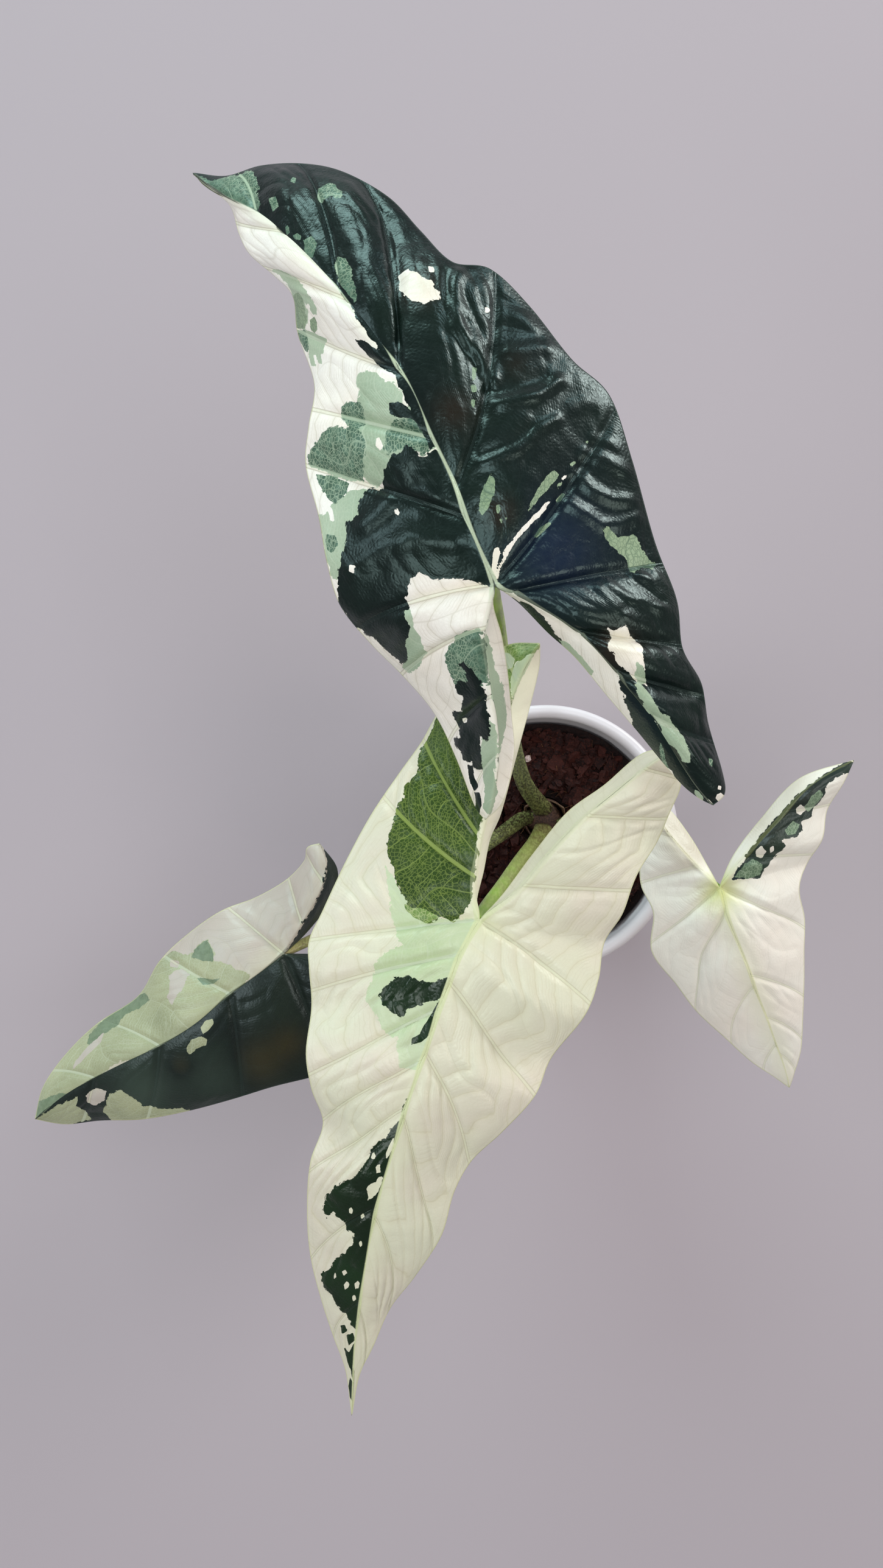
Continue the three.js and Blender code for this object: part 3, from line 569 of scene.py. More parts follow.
def blade_grid(leaf, side, inner, rows_per_span, shares):
    """The middle surface of a patch on a grid of rows (along the rib) and shares (across, 0 to 1).
    Each row is a straight line from the rib to the margin, with the height eased by share^1.3. Between
    two veins the blade lifts by pucker * (1 - |2 f - 1|^2.1) * sin(pi * share^0.8)^0.7 mm, with f from 0
    at one vein to 1 at the next. The strips inside the lobes have no side veins and no pucker."""
    junction = leaf["midrib"][-1]
    end = side["rib"][-1]
    mid_spans = len(leaf["midrib"]) - 1
    rib_spans = len(side["rib"])
    spans = mid_spans + rib_spans
    first = mid_spans if inner else 0
    rows = np.linspace(first, spans, (spans - first) * rows_per_span + 1)
    on_rib = np.where(
        (rows <= mid_spans)[:, None],
        curve(leaf["midrib"], np.minimum(rows / mid_spans, 1)),
        curve([junction, *side["rib"]], np.clip((rows - mid_spans) / rib_spans, 0, 1)),
    )
    margin = [junction, *side["inner"], end] if inner else [leaf["midrib"][0], *side["outer"], end]
    on_margin = curve(margin, (rows - first) / (spans - first))
    across = shares[None, :]
    p = on_rib[:, None] + (on_margin - on_rib)[:, None] * across[..., None]
    p[..., 2] = on_rib[:, None, 2] + (on_margin[:, 2] - on_rib[:, 2])[:, None] * across**1.3
    if inner:
        vein = np.full(p.shape[:2], NO_VEIN)
        return rows, p, vein, vein - np.floor(vein)

    # Which vein, and how far to the next: whole numbers lie on a vein
    on_rib_at, on_margin_at = side["veins"].T
    count = np.arange(len(on_rib_at))
    starts = [on_rib_at + (on_margin_at - on_rib_at) * share for share in shares]
    vein = np.stack([np.interp(rows, start, count) for start in starts], 1)
    f = vein - np.floor(vein)
    pucker = (1 - np.abs(2 * f - 1) ** 2.1) * np.sin(np.pi * across**0.8) ** 0.7
    width = np.linalg.norm(on_margin - on_rib, axis=1)[:, None]
    p[..., 2] += leaf["pucker"] * np.minimum(1, width / FULL_WIDTH_PIXELS) * pucker
    return rows, p, vein, f


def lengths(p, axis):
    """The length run along one way of a grid, as the running sum of the steps."""
    step = np.linalg.norm(np.diff(p, axis=axis), axis=-1)
    return np.insert(np.cumsum(step, axis), 0, 0, axis)


def vein_gap(p, vein):
    """The distance in mm between two neighbouring veins: the step along the rows, without its part
    along the columns, over how much the vein number changes in that step. It is kept from 1 to 60."""
    along = np.gradient(p, axis=0)
    out = np.gradient(p, axis=1)
    out /= np.maximum(np.linalg.norm(out, axis=-1, keepdims=True), 1e-9)
    square = along - (along * out).sum(-1, keepdims=True) * out
    change = np.maximum(np.abs(np.gradient(vein, axis=0)), 1e-4)
    return np.clip(np.linalg.norm(square, axis=-1) / change, 1, 60)


# %% The relief that rides on the grid
CREST_SPACING = 5.8


def middle_vein(vein, f, gap, run, seed):
    """The signed distance in mm to the finer vein that wanders midway between two side veins."""
    wander = 0.5 + 0.16 * soft_noise(np.stack([run, vein * 9], -1), 22, seed + 1)
    return (f - wander) * gap


def blade_ladder(mm, run, vein, to_vein, inner, seed):
    """The count of the cross veins, a whole number on each stout one. The way it is counted on runs
    outwards along the side veins and bows outwards between them, w = run - 0.55 * distance to the side
    vein, with a slow wander of 1.1 mm. Between each two side veins the count has its own random start.
    In the inner strips w runs along the rib."""
    start = np.random.default_rng(seed).uniform(0, 1, 64)[np.floor(vein).astype(int) % 64]
    way = lengths(mm[:, :1], 0) - 0.4 * run if inner else run - 0.55 * to_vein
    return (way + 1.1 * soft_noise(mm, 17, seed + 2)) / CREST_SPACING + start


def blade_relief(mm, f, gap, middle, run, edge, ladder, crimp, vigour, seed):
    """What the upper face adds in mm. A side vein is a low cord in a soft trough with a swelling beside
    it, and the finer vein midway is a groove. Between two stout cross veins the blade swells to a
    pillow, 1 - |2 u - 1|^2.2 with u the share of the way from one to the next, stronger in some places
    than in others, and by the crimp in mm more. A soft unevenness of 15 mm and one of 5 mm come last."""
    to_vein = np.minimum(f, 1 - f) * gap
    fade = ease(0, 4, run) * ease(0, 5, edge)
    wide = ease(5, 14, gap)
    depth = 0.35 + 0.65 * ease(0, 30, edge)
    relief = (0.3 * bump(to_vein, 0.5) - 0.55 * bump(to_vein, 1.3)) * depth
    relief += 0.2 * bump(to_vein - 2.8, 1.6) * fade
    relief -= 0.25 * vigour * wide * bump(middle, 1.1) * fade
    u = ladder - np.floor(ladder)
    pillow = (1 - np.abs(2 * u - 1) ** 2.2 - 0.55) * ease(0.2, 2.2, to_vein)
    patchy = np.clip(0.55 + 0.5 * soft_noise(mm, 22, seed + 5), 0.05, 1.2)
    relief += pillow * (0.42 * vigour * patchy * wide + crimp) * fade
    return relief + (0.16 * soft_noise(mm, 15, seed + 3) + 0.05 * soft_noise(mm, 5, seed + 4)) * fade


def fold_lift(leaf, picture):
    """Folds of one leaf alone: height * bump(distance, width), summed over the drawn lines."""
    lift = np.zeros(len(picture))
    for line, height, width in leaf["folds"]:
        lift += height * bump(line_distance(picture, points(line)), width)
    return lift


def spots(picture, centres):
    """Round spots that fade out: strength * bump(distance, radius), summed."""
    total = np.zeros(picture.shape[:-1])
    for x, y, radius, strength in centres:
        total += strength * bump(np.linalg.norm(picture - (x, y), axis=-1), radius)
    return total


# %% [markdown]
# ## From grids to one closed blade
#
# Four grids meet along the ribs: left and right, outside and inside of each back lobe. The upper and
# the lower face are meshed apart, the lower one with fewer columns, and a narrow band round the margin
# closes them to one skin. The ribs stand out below as rounded keels.

# %% What is known at each point of a grid
# The colours, in the order they are painted, and the numbers that a blade keeps for its material
COLOURS = ("sage", "green", "net", "dark")
MEASURES = ("vein", "gap", "run", "ladder", "edge", "rib", "middle", "crimp", "lobe")
NO_VEIN_MM = 9.0


def shares_across(count, lean=1.25):
    """Columns from rib to margin, closer at the rib, with one last narrow column at the margin."""
    return np.append(np.linspace(0, 1, count) ** lean * 0.994, 1.0)


def patch_values(leaf, number, inner, rows_per_span, shares, seed):
    """One grid of a blade with all that is known at its points, in mm where it is a length: run and edge
    are the ways to the rib and to the margin, rib is the way to the rib's flank, and lobe is 1 beside a
    back rib. In an inner strip every vein is NO_VEIN_MM away."""
    side = leaf["sides"][number]
    seed += 7 * number
    rows, p, vein, f = blade_grid(leaf, side, inner, rows_per_span, shares)
    mm = place(p)
    run = lengths(mm, 1)
    edge = run[:, -1:] - run
    if inner:
        gap = middle = np.full(vein.shape, NO_VEIN_MM)
    else:
        gap = vein_gap(mm, vein)
        middle = middle_vein(vein, f, gap, run, seed)
    ladder = blade_ladder(mm, run, vein, np.minimum(f, 1 - f) * gap, inner, seed)
    crimp = spots(p[..., :2], leaf["crimps"])
    vigour = leaf["vigour"][number] * (0.35 if inner else 1.0)
    # The midrib widens towards the junction, and the back ribs thin out from there
    mid_spans = len(leaf["midrib"]) - 1
    forward = np.clip(rows / mid_spans, 0, 1)
    back = np.clip((rows - mid_spans) / len(side["rib"]), 0, 1)
    half_rib = leaf["half_rib"] * (0.18 + 0.82 * forward**1.3) * (1 - 0.7 * back)
    return {
        "p": mm, "picture": p[..., :2], "vein": vein + 20 * number, "gap": gap, "run": run, "edge": edge,
        "rib": run - half_rib[:, None], "middle": middle, "ladder": ladder, "crimp": crimp,
        "lobe": np.repeat(ease(0, 0.12, back)[:, None], len(shares), 1),
        "side": np.full(vein.shape, float(number)), "inner": np.full(vein.shape, float(inner)),
        "relief": blade_relief(mm, f, gap, middle, run, edge, ladder, crimp, vigour, seed),
    }


# %% Fold four grids into one face


def patch_faces(grid, p):
    """Quads between the inner rows, and a fan of triangles at the first and at the last row, which are
    one vertex each, all facing up. Also says whether they had to be turned over for that."""
    quads = cells(grid[1:-1])
    first = np.stack([grid[0, :-1], grid[1, :-1], grid[1, 1:]], -1)
    last = np.stack([grid[-2, :-1], grid[-1, :-1], grid[-2, 1:]], -1)
    fans = np.vstack([first, last])
    half = len(grid) // 2
    along = p[half + 1, 0] - p[half, 0]
    out = p[half, -1] - p[half, 0]
    turned = along[0] * out[1] - along[1] * out[0] < 0
    return (quads[:, ::-1], fans[:, ::-1], True) if turned else (quads, fans, False)


def leaf_face(leaf, rows_per_span, outer_shares, inner_shares, seed):
    """All vertices of the middle surface with what is known at each, its faces as seen from above, and
    the loop of its margin. A grid takes the rib vertices that are there already and adds its own; at the
    tip and at a lobe's end a whole row is one vertex."""
    mid_rows = (len(leaf["midrib"]) - 1) * rows_per_span
    fields, quads, fans, rims = {}, [], [], []
    spine, total = np.zeros(0, int), 0
    for number in (0, 1):
        for inner, shares in ((False, outer_shares), (True, inner_shares)):
            values = patch_values(leaf, number, inner, rows_per_span, shares, seed)
            grid = np.zeros(values["run"].shape, int)
            shared = spine[mid_rows:] if inner else spine[: mid_rows + 1]
            fresh = len(grid) - len(shared)
            grid[:, 0] = np.append(shared, total + np.arange(fresh))
            if not inner:
                spine = grid[:, 0].copy()
            body = grid[1:-1, 1:]
            body[:] = total + fresh + np.arange(body.size).reshape(body.shape)
            grid[0, 1:], grid[-1, 1:] = grid[0, 0], grid[-1, 0]
            total += fresh + body.size
            for key, v in values.items():
                parts = [v[len(shared) :, 0], v[1:-1, 1:].reshape(-1, *v.shape[2:])]
                fields.setdefault(key, []).extend(parts)
            patch_quads, patch_fans, turned = patch_faces(grid, values["p"])
            quads.append(patch_quads)
            fans.append(patch_fans)
            rims.append(grid[:, -1] if turned else grid[::-1, -1])
    # The rims chain head to tail into one loop round the blade
    loop = list(rims.pop(0))
    while rims:
        following = next(k for k, rim in enumerate(rims) if loop[-1] in (rim[0], rim[-1]))
        rim = rims.pop(following)
        loop += list(rim[1:] if rim[0] == loop[-1] else rim[-2::-1])
    merged = {key: np.concatenate(parts) for key, parts in fields.items()}
    return merged, np.vstack(quads), np.vstack(fans), np.array(loop[:-1])


def face_normals(p, quads, triangles):
    """At each vertex, the sum of the cross products of the faces round it (of a quad's diagonals, of a
    triangle's two sides), made one long."""
    n = np.zeros_like(p)
    q, t = p[quads], p[triangles]
    for faces, cross in (
        (quads, np.cross(q[:, 2] - q[:, 0], q[:, 3] - q[:, 1])),
        (triangles, np.cross(t[:, 1] - t[:, 0], t[:, 2] - t[:, 0])),
    ):
        for k in range(faces.shape[1]):
            np.add.at(n, faces[:, k], cross)
    return n / np.maximum(np.linalg.norm(n, axis=1, keepdims=True), 1e-12)


# %% How far each vertex lies from each colour
# How fast the distance grows across a rib, how wide a patch has its own distances, and how much each
# patch is grown so that it overlaps the next, in pixels
BEYOND_RIB = 6
FULL_PATCH = 15
OVERLAP = 1.5


def patch_fields(leaf, face):
    """For each colour, the distance in mm to its border, less than 0 inside. Later patches lie on
    earlier ones, and a patch is cut out of every colour that would cover it. A patch stays on its own
    side of the midrib, and one marked "inner" or "outer" on its own side of the back rib too: beyond the
    rib, BEYOND_RIB times the way from it is added. The distances of a thin patch are stretched, so that
    its border is less jagged; how thin it is, is its area over the length of its outline."""
    picture = face["picture"]
    scale = (EYE[2] - face["p"][:, 2]) / FOCAL_PIXELS
    past = BEYOND_RIB * face["run"] / scale
    kinds = {key: np.full(len(picture), REACH) for key in COLOURS}
    if leaf["dark_side"] is not None:
        kinds["dark"] = np.clip(np.where(face["side"] == leaf["dark_side"], -past, past), -REACH, REACH)
    for kind, outline, *strip in leaf["patches"]:
        ring = points(outline)
        d = patch_distance(picture, ring)
        inside = d < 0
        if not inside.any():
            continue
        beyond = face["side"] != round(face["side"][inside].mean())
        if strip:
            beyond |= face["inner"] != float(strip[0] == "inner")
        following = np.roll(ring, -1, 0)
        area = abs((ring[:, 0] * following[:, 1] - following[:, 0] * ring[:, 1]).sum()) / 2
        thinness = area / np.linalg.norm(following - ring, axis=1).sum()
        d = d / np.clip(thinness / FULL_PATCH, 0.12, 1)
        d = np.where(beyond, np.maximum(d, 0) + past, d)
        # Cream is the bare ground, so it is cut out of every colour
        for other in COLOURS[COLOURS.index(kind) + 1 :] if kind in COLOURS else COLOURS:
            kinds[other] = np.maximum(kinds[other], -d)
        if kind in COLOURS:
            kinds[kind] = np.minimum(kinds[kind], d - OVERLAP)
    return {key: value * scale for key, value in kinds.items()}


# %% Two faces and a band make a blade
RIM_THICKNESS = 0.5
BODY_THICKNESS = 0.8


def face_points(face, normal, under):
    """Where the upper or the lower face lies. The upper one lifts by half the thickness, its relief and
    a low crest on each rib; the lower one drops by half the thickness, a keel under the ribs and a ridge
    under each vein. Both come together at the margin."""
    edge = face["edge"]
    half = (RIM_THICKNESS + (BODY_THICKNESS - RIM_THICKNESS) * ease(0, 3, edge)) / 2
    half_rib = np.maximum(face["run"] - face["rib"], 0.2)
    near_rib = bump(face["run"], 1.5 * half_rib)
    if under:
        keel = (0.35 + 1.25 * half_rib) * near_rib
        ridge = np.clip(-face["relief"], 0, 1) * 0.5
        away = -(half + (keel + ridge) * ease(0, 2, edge + 0.2))
    else:
        crest = (0.12 + 0.3 * half_rib) * near_rib
        away = half + (face["relief"] * (1 - near_rib) + crest) * ease(0, 1.2, edge)
    return face["p"] + normal * away[:, None]


def build_leaf(name, leaf, seed):
    """One closed skin: the upper face, the lower one with fewer columns, and the band between them."""
    rows_per_span, top_columns, under_columns, inner_columns = leaf["grid"]
    vertices, marks, quads, triangles, loops = [], [], [], [], []
    offset = 0
    for under, columns in enumerate((top_columns, under_columns)):
        inner_shares = shares_across(max(5, columns * inner_columns // top_columns), 1.0)
        face, face_quads, face_fans, loop = leaf_face(
            leaf, rows_per_span, shares_across(columns), inner_shares, seed
        )
        face["p"][:, 2] += fold_lift(leaf, face["picture"]) * ease(0, 6, face["edge"])
        vertices.append(face_points(face, face_normals(face["p"], face_quads, face_fans), under))
        turn = -1 if under else 1
        quads.append(face_quads[:, ::turn] + offset)
        triangles.append(face_fans[:, ::turn] + offset)
        loops.append(loop + offset)
        marks.append({
            **patch_fields(leaf, face),
            **{key: face[key] for key in MEASURES},
            "under": np.full(len(face["p"]), float(under)),
            "tint": spots(face["picture"], leaf["tints"]),
        })
        offset += len(face["p"])
    upper, lower = loops
    band = cells(np.array([[*upper, upper[0]], [*lower, lower[0]]]))
    # The band has to turn its face outwards: its order follows the loop's own turn seen from above
    ring = vertices[0][upper]
    following = np.roll(ring, -1, 0)
    turn = (ring[:, 0] * following[:, 1] - following[:, 0] * ring[:, 1]).sum()
    quads.append(band if turn > 0 else band[:, ::-1])
    piece = make_mesh(f"leaf_{name}_blade", np.vstack(vertices), np.vstack(quads), np.vstack(triangles))
    for key in marks[0]:
        give(piece, key, np.concatenate([mark[key] for mark in marks]))
    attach(piece, "root")
    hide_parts(f"leaf_{name}")
    return piece


# %% The form of each blade, and the four blades
# Pucker and half the rib's width in mm, the strength of the fine relief on each side, and the grid: rows
# between two rib points, then columns of the upper face, the lower face and the strips in the lobes.
# A crimp is a spot (pixels across, down, radius, mm). So is a tint, with a strength: near-black turns
# navy above 0 and brown below, cream turns to the rib's tone above 0, and below 0 it takes painted light,
# which is painted shade on the tallest leaf and a painted brightening on the pale leaf.
# A fold is a line, its height in mm and its width in pixels.
leaves["top"].update(
    pucker=3.0, half_rib=0.95, vigour=(0.45, 0.6), grid=(22, 78, 28, 18),
    crimps=[(1090, 990, 40, 0.3), (1050, 700, 40, 0.4), (780, 500, 60, 0.25), (1060, 900, 30, 0.3)],
    tints=[
        (915, 905, 80, 1), (823, 845, 30, -0.9), (745, 675, 34, -0.7), (846, 600, 22, -0.4),
        # The last two spots are painted shade: they dim two cream patches that the windows light too brightly
        (1010, 1200, 70, 0.4), (690, 471, 30, -1), (1014, 1062, 32, -1),
    ],
    folds=[
        ("750,446 746,481 752,534 793,592 808,625", 1.5, 13),
        ("738,450 733,500 740,546 782,604 800,640", -0.7, 10),
        ("780,480 790,520 800,560", 0.8, 18),
        ("818,664 850,656 886,648 915,628", 1.3, 11),
        ("818,640 850,634 886,622", -0.6, 14),
        ("836,582 870,576 905,570", 0.8, 13),
        ("860,520 885,540 905,560", 0.7, 20),
        ("600,309 630,355 646,400 655,452 657,520 650,560", -1.0, 11),
        ("580,320 615,370 638,420", 0.8, 20),
        ("470,300 540,340 600,410 625,490", 1.6, 42),
        ("700,760 740,790", -0.8, 22),
        ("745,892 677,886 624,905 580,936", 1.2, 20),
        ("600,860 650,815 715,820", 0.9, 16),
        ("785,1030 740,1041 700,1067 664,1098", 1.6, 16),
        ("757,1110 770,1160 785,1220 786,1290", -1.2, 20),
        ("940,1035 1000,1040 1100,1046", -0.9, 20),
        ("1067,1133 1110,1140 1150,1137", -0.9, 16),
        ("790,762 818,750 847,740 868,724 884,706 912,690", 0.8, 9),
        ("794,748 820,736 848,724 874,702", -0.35, 10),
        ("940,672 965,662 985,668", 0.5, 14),
        ("975,722 1000,728 1030,742", 0.6, 9),
        ("958,746 990,757 1030,776", 0.9, 10),
        ("944,780 974,806 1005,822 1046,824", 1.0, 10),
        ("928,825 955,843 987,863 1015,862 1051,847", 0.9, 10),
        ("1040,945 1075,955 1102,968", 0.5, 8),
        ("1000,962 1040,985 1085,1000 1108,1003", 0.6, 9),
        ("984,967 1005,990 1022,1009", 0.5, 8),
        ("1030,1017 1063,1032 1113,1045", 0.5, 10),
    ],
)
leaves["centre"].update(
    pucker=1.7, half_rib=1.25, vigour=(1.5, 1.5), grid=(20, 78, 28, 18), crimps=[],
    # The last two spots are painted light: they brighten the cream of the upright top lobe, which lies in
    # shade
    tints=[(790, 1512, 40, 1), (868, 1112, 40, -1), (858, 1190, 40, -1)],
    folds=[
        ("1040,1300 1080,1270", 1.0, 26),
        ("560,1700 620,1740 650,1760", 0.9, 24),
        ("800,1600 860,1640 930,1680", 1.0, 28),
        ("560,1500 620,1480", 1.0, 24),
        ("735,1850 760,1900", -0.8, 26),
    ],
)
leaves["left"].update(
    pucker=2.4, half_rib=0.7, vigour=(0.8, 0.5), grid=(20, 58, 24, 18), crimps=[], folds=[],
    tints=[
        (235, 1790, 50, 1), (350, 1770, 40, 0.5), (430, 1742, 34, -0.8), (474, 1712, 28, -0.8),
        (297, 1750, 20, -0.5),
    ],
)
leaves["right"].update(
    pucker=1.8, half_rib=1.2, vigour=(0.6, 0.6), grid=(20, 52, 22, 18), crimps=[], folds=[],
    tints=[
        (1181, 1462, 36, 1), (1112, 1350, 44, -1), (1142, 1400, 36, -0.8), (1245, 1350, 36, -0.7),
        (1300, 1285, 40, -0.7),
    ],
)
blades = {name: build_leaf(name, leaf, 100 * (k + 1)) for k, (name, leaf) in enumerate(leaves.items())}

# %% [markdown]
# ## Finishes
#
# A finish is a chain of nodes: where a point is, a pattern there, and a colour, roughness and height
# from it. Colours are written as the hex values that a screen shows and turned to linear light once.
# One function adds every node, so a line of a finish reads like a sentence: what it makes, and of what.

# %% Helpers for every finish
# Words for the nodes used most: Blender's name for the node, and the setting that makes it that.
# A zigzag of 0.5 is how far a count is from the nearest whole number.
WORDS = {
    "sum": ("Math", "operation", "ADD"),
    "times": ("Math", "operation", "MULTIPLY"),
    "larger": ("Math", "operation", "MAXIMUM"),
    "size": ("Math", "operation", "ABSOLUTE"),
    "zigzag": ("Math", "operation", "PINGPONG"),
    "ramp": ("MapRange", "interpolation_type", "LINEAR"),
    "blend": ("Mix", "data_type", "RGBA"),
}


def linear(hex_colour):
    """A screen colour such as #ECE9D8 to linear light: c / 12.92 for dark values, otherwise
    ((c + 0.055) / 1.055)^2.4."""
    c = np.array([int(hex_colour[i : i + 2], 16) for i in (1, 3, 5)]) / 255
    c = np.where(c <= 0.04045, c / 12.92, ((c + 0.055) / 1.055) ** 2.4)
    return (*c.tolist(), 1.0)


def add_node(tree, kind, *values, out=None, **named):
    """Adds a node and gives back the output that the next node reads: the one named out, or else the
    first. kind is one of WORDS or Blender's own name for it. The values go to the sockets in use, in
    their order. Of the names, one with a capital is a socket (Base_Color), and any other is a setting.
    A value may be a number, the output of another node, or a hex colour."""
    kind, *setting = WORDS.get(kind, (kind,))
    node = tree.nodes.new("ShaderNode" + kind)
    settings = [item for item in named.items() if item[0][0].islower()]
    for key, value in [setting, *settings] if setting else settings:
        setattr(node, key, value)
    links = list(zip([socket for socket in node.inputs if socket.enabled], values))
    links += [(node.inputs[key.replace("_", " ")], named[key]) for key in named if key[0].isupper()]
    for socket, value in links:
        if isinstance(value, bpy.types.NodeSocket):
            tree.links.new(value, socket)
        else:
            socket.default_value = linear(value) if isinstance(value, str) else value
    return node.outputs[out] if out else next((socket for socket in node.outputs if socket.enabled), None)


def new_finish(name):
    """An empty material, and add_node for its own tree."""
    material = bpy.data.materials.new(name)
    material.use_nodes = True
    material.node_tree.nodes.clear()
    return material, functools.partial(add_node, material.node_tree)


def per(size_mm):
    """The scale of a pattern whose features are size_mm apart, for coordinates in metres."""
    return 1.0 / (size_mm * MM)


print("cream in linear light:", [round(v, 3) for v in linear("#ECE9D8")])

# %% [markdown]
# ## The blade's finish: waxy leaf, cream, sage, net green and near-black
#
# A leaf is a waxy skin over green tissue. In this plant the skin is clear everywhere, and the green is
# missing in cream areas, thin in sage ones and dense in near-black ones. The borders follow the small
# cells between the finest veins, so a random step for each cell is added to the distance before it is
# cut to inside or outside. The veins are read from the leaf's own numbers: on cream they are thin and
# grey-green, on green they are a pale net, and in the near-black they show only as relief. To the eye
# the wax gives a broad, slightly cool sheen, tightest on the near-black.

# %% The borders of the patches


def leaf_borders(add, spot, mark):
    """For each colour, 1 inside its patches and 0 outside. A random step for each 1.1 mm cell and a
    slower wander of 3.5 mm are added to the distance, and taken off it for the near-black."""
    cell = add("SeparateColor", add("TexVoronoi", spot, per(1.1), out="Color"))
    wander = add("ramp", add("TexNoise", spot, per(3.5), 3.0), 0.3, 0.7, -0.5, 0.5)
    jitter = add("sum", add("ramp", cell, 0.0, 1.0, -0.3, 0.3), wander)
    against = add("times", jitter, -1.0)
    inside = {}
    for kind in COLOURS:
        border = add("sum", mark[kind], against if kind == "dark" else jitter)
        inside[kind] = add("ramp", border, -0.07, 0.07, 1.0, 0.0)
    return inside


# %% The veins
# Between two stout cross veins lie this many spaces of fine ones
RUNGS = 6
CROSS_SPACING = CREST_SPACING / RUNGS


def leaf_veins(add, spot, mark):
    """How strongly each kind of vein shows at a point, 0 to 1, and some of the distances in mm that they
    are drawn from. The net of the finest veins is drawn coarser than it is, so that it shows."""
    # A side vein is a pale cord between two thin lines; a finer vein midway stops short of the margin
    to_vein = add("times", add("zigzag", mark["vein"], 0.5), mark["gap"])
    roomy = add("ramp", mark["gap"], 3.0, 9.0)
    cord = add("times", add("ramp", to_vein, 0.3, 0.5, 1.0, 0.0), roomy)
    to_line = add("size", add("sum", to_vein, -0.5))
    beside = add("times", add("ramp", to_line, 0.06, 0.28, 1.0, 0.0), roomy)
    short = add("times", roomy, add("ramp", mark["edge"], 3.0, 9.0))
    midway = add("times", add("ramp", add("size", mark["middle"]), 0.06, 0.3, 0.6, 0.0), short)
    to_rim_vein = add("size", add("sum", mark["edge"], -2.0))
    slight = add("larger", midway, add("ramp", to_rim_vein, 0.05, 0.2, 0.5, 0.0))

    # Stout cross veins, and fine ones between them that come and go
    waver = add("ramp", add("TexNoise", spot, per(3.0), 1.0), 0.2, 0.8, -0.06, 0.06)
    count = add("sum", mark["ladder"], waver)
    clear = add("ramp", to_vein, 0.3, 0.7)
    to_stout = add("times", add("zigzag", count, 0.5), CREST_SPACING)
    stout = add("times", add("ramp", to_stout, 0.04, 0.2, 1.0, 0.0), clear)
    to_cross = add("times", add("zigzag", add("times", count, RUNGS), 0.5), CROSS_SPACING)
    patchy = add("ramp", add("TexNoise", spot, per(7), 2.0), 0.42, 0.6, 0.1, 1.0)
    comes_and_goes = add("times", patchy, clear)
    cross = add("times", add("ramp", to_cross, 0.02, 0.14, 1.0, 0.0), comes_and_goes)
    mesh = add("TexVoronoi", spot, per(1.15), feature="DISTANCE_TO_EDGE")
    return SimpleNamespace(
        cord=cord, beside=beside, slight=slight, bold=add("larger", add("larger", cord, beside), slight),
        stout=stout, cross=cross, net=add("ramp", mesh, 0.02, 0.1, 1.0, 0.0), mesh=mesh,
        to_stout=to_stout, to_cross=to_cross, comes_and_goes=comes_and_goes,
        near_rib=add("ramp", mark["rib"], 0.5, 5.0, 0.25, 1.0),
    )


def vein_strengths(add, vein, tone):
    """For each colour, how strongly its veins show on it."""

    def strongest(*pairs):
        """The largest of some kinds of vein, each times its own share."""
        best = add("times", *pairs[0])
        for pair in pairs[1:]:
            best = add("larger", best, add("times", *pair))
        return best

    def with_fine(bold, stout, cross, net):
        """The bold veins, or the fine ones where they are stronger; the fine ones fade near a rib."""
        fine = strongest((vein.stout, stout), (vein.cross, cross), (vein.net, net))
        return add("larger", bold, add("times", fine, vein.near_rib))

    return {
        "cream": with_fine(strongest((vein.beside, 0.6), (vein.slight, 0.45)), 0.4, 0.3, 0.08),
        "sage": with_fine(add("times", vein.bold, 0.5), 0.35, 0.3, 0.2),
        "green": with_fine(vein.bold, 0.7, 0.5, 0.5),
        "net": with_fine(add("times", vein.bold, 0.9), 0.5, 0.55, 0.6),
        "dark": add("times", with_fine(vein.bold, 0.7, 0.5, 0.35), tone["veins_on_dark"]),
    }


# %% The colour of a blade, layer on layer


def layered(add, colour, *layers):
    """Lays each (share, colour) over what is there, one after another."""
    for share, over in layers:
        colour = add("blend", share, colour, over)
    return colour


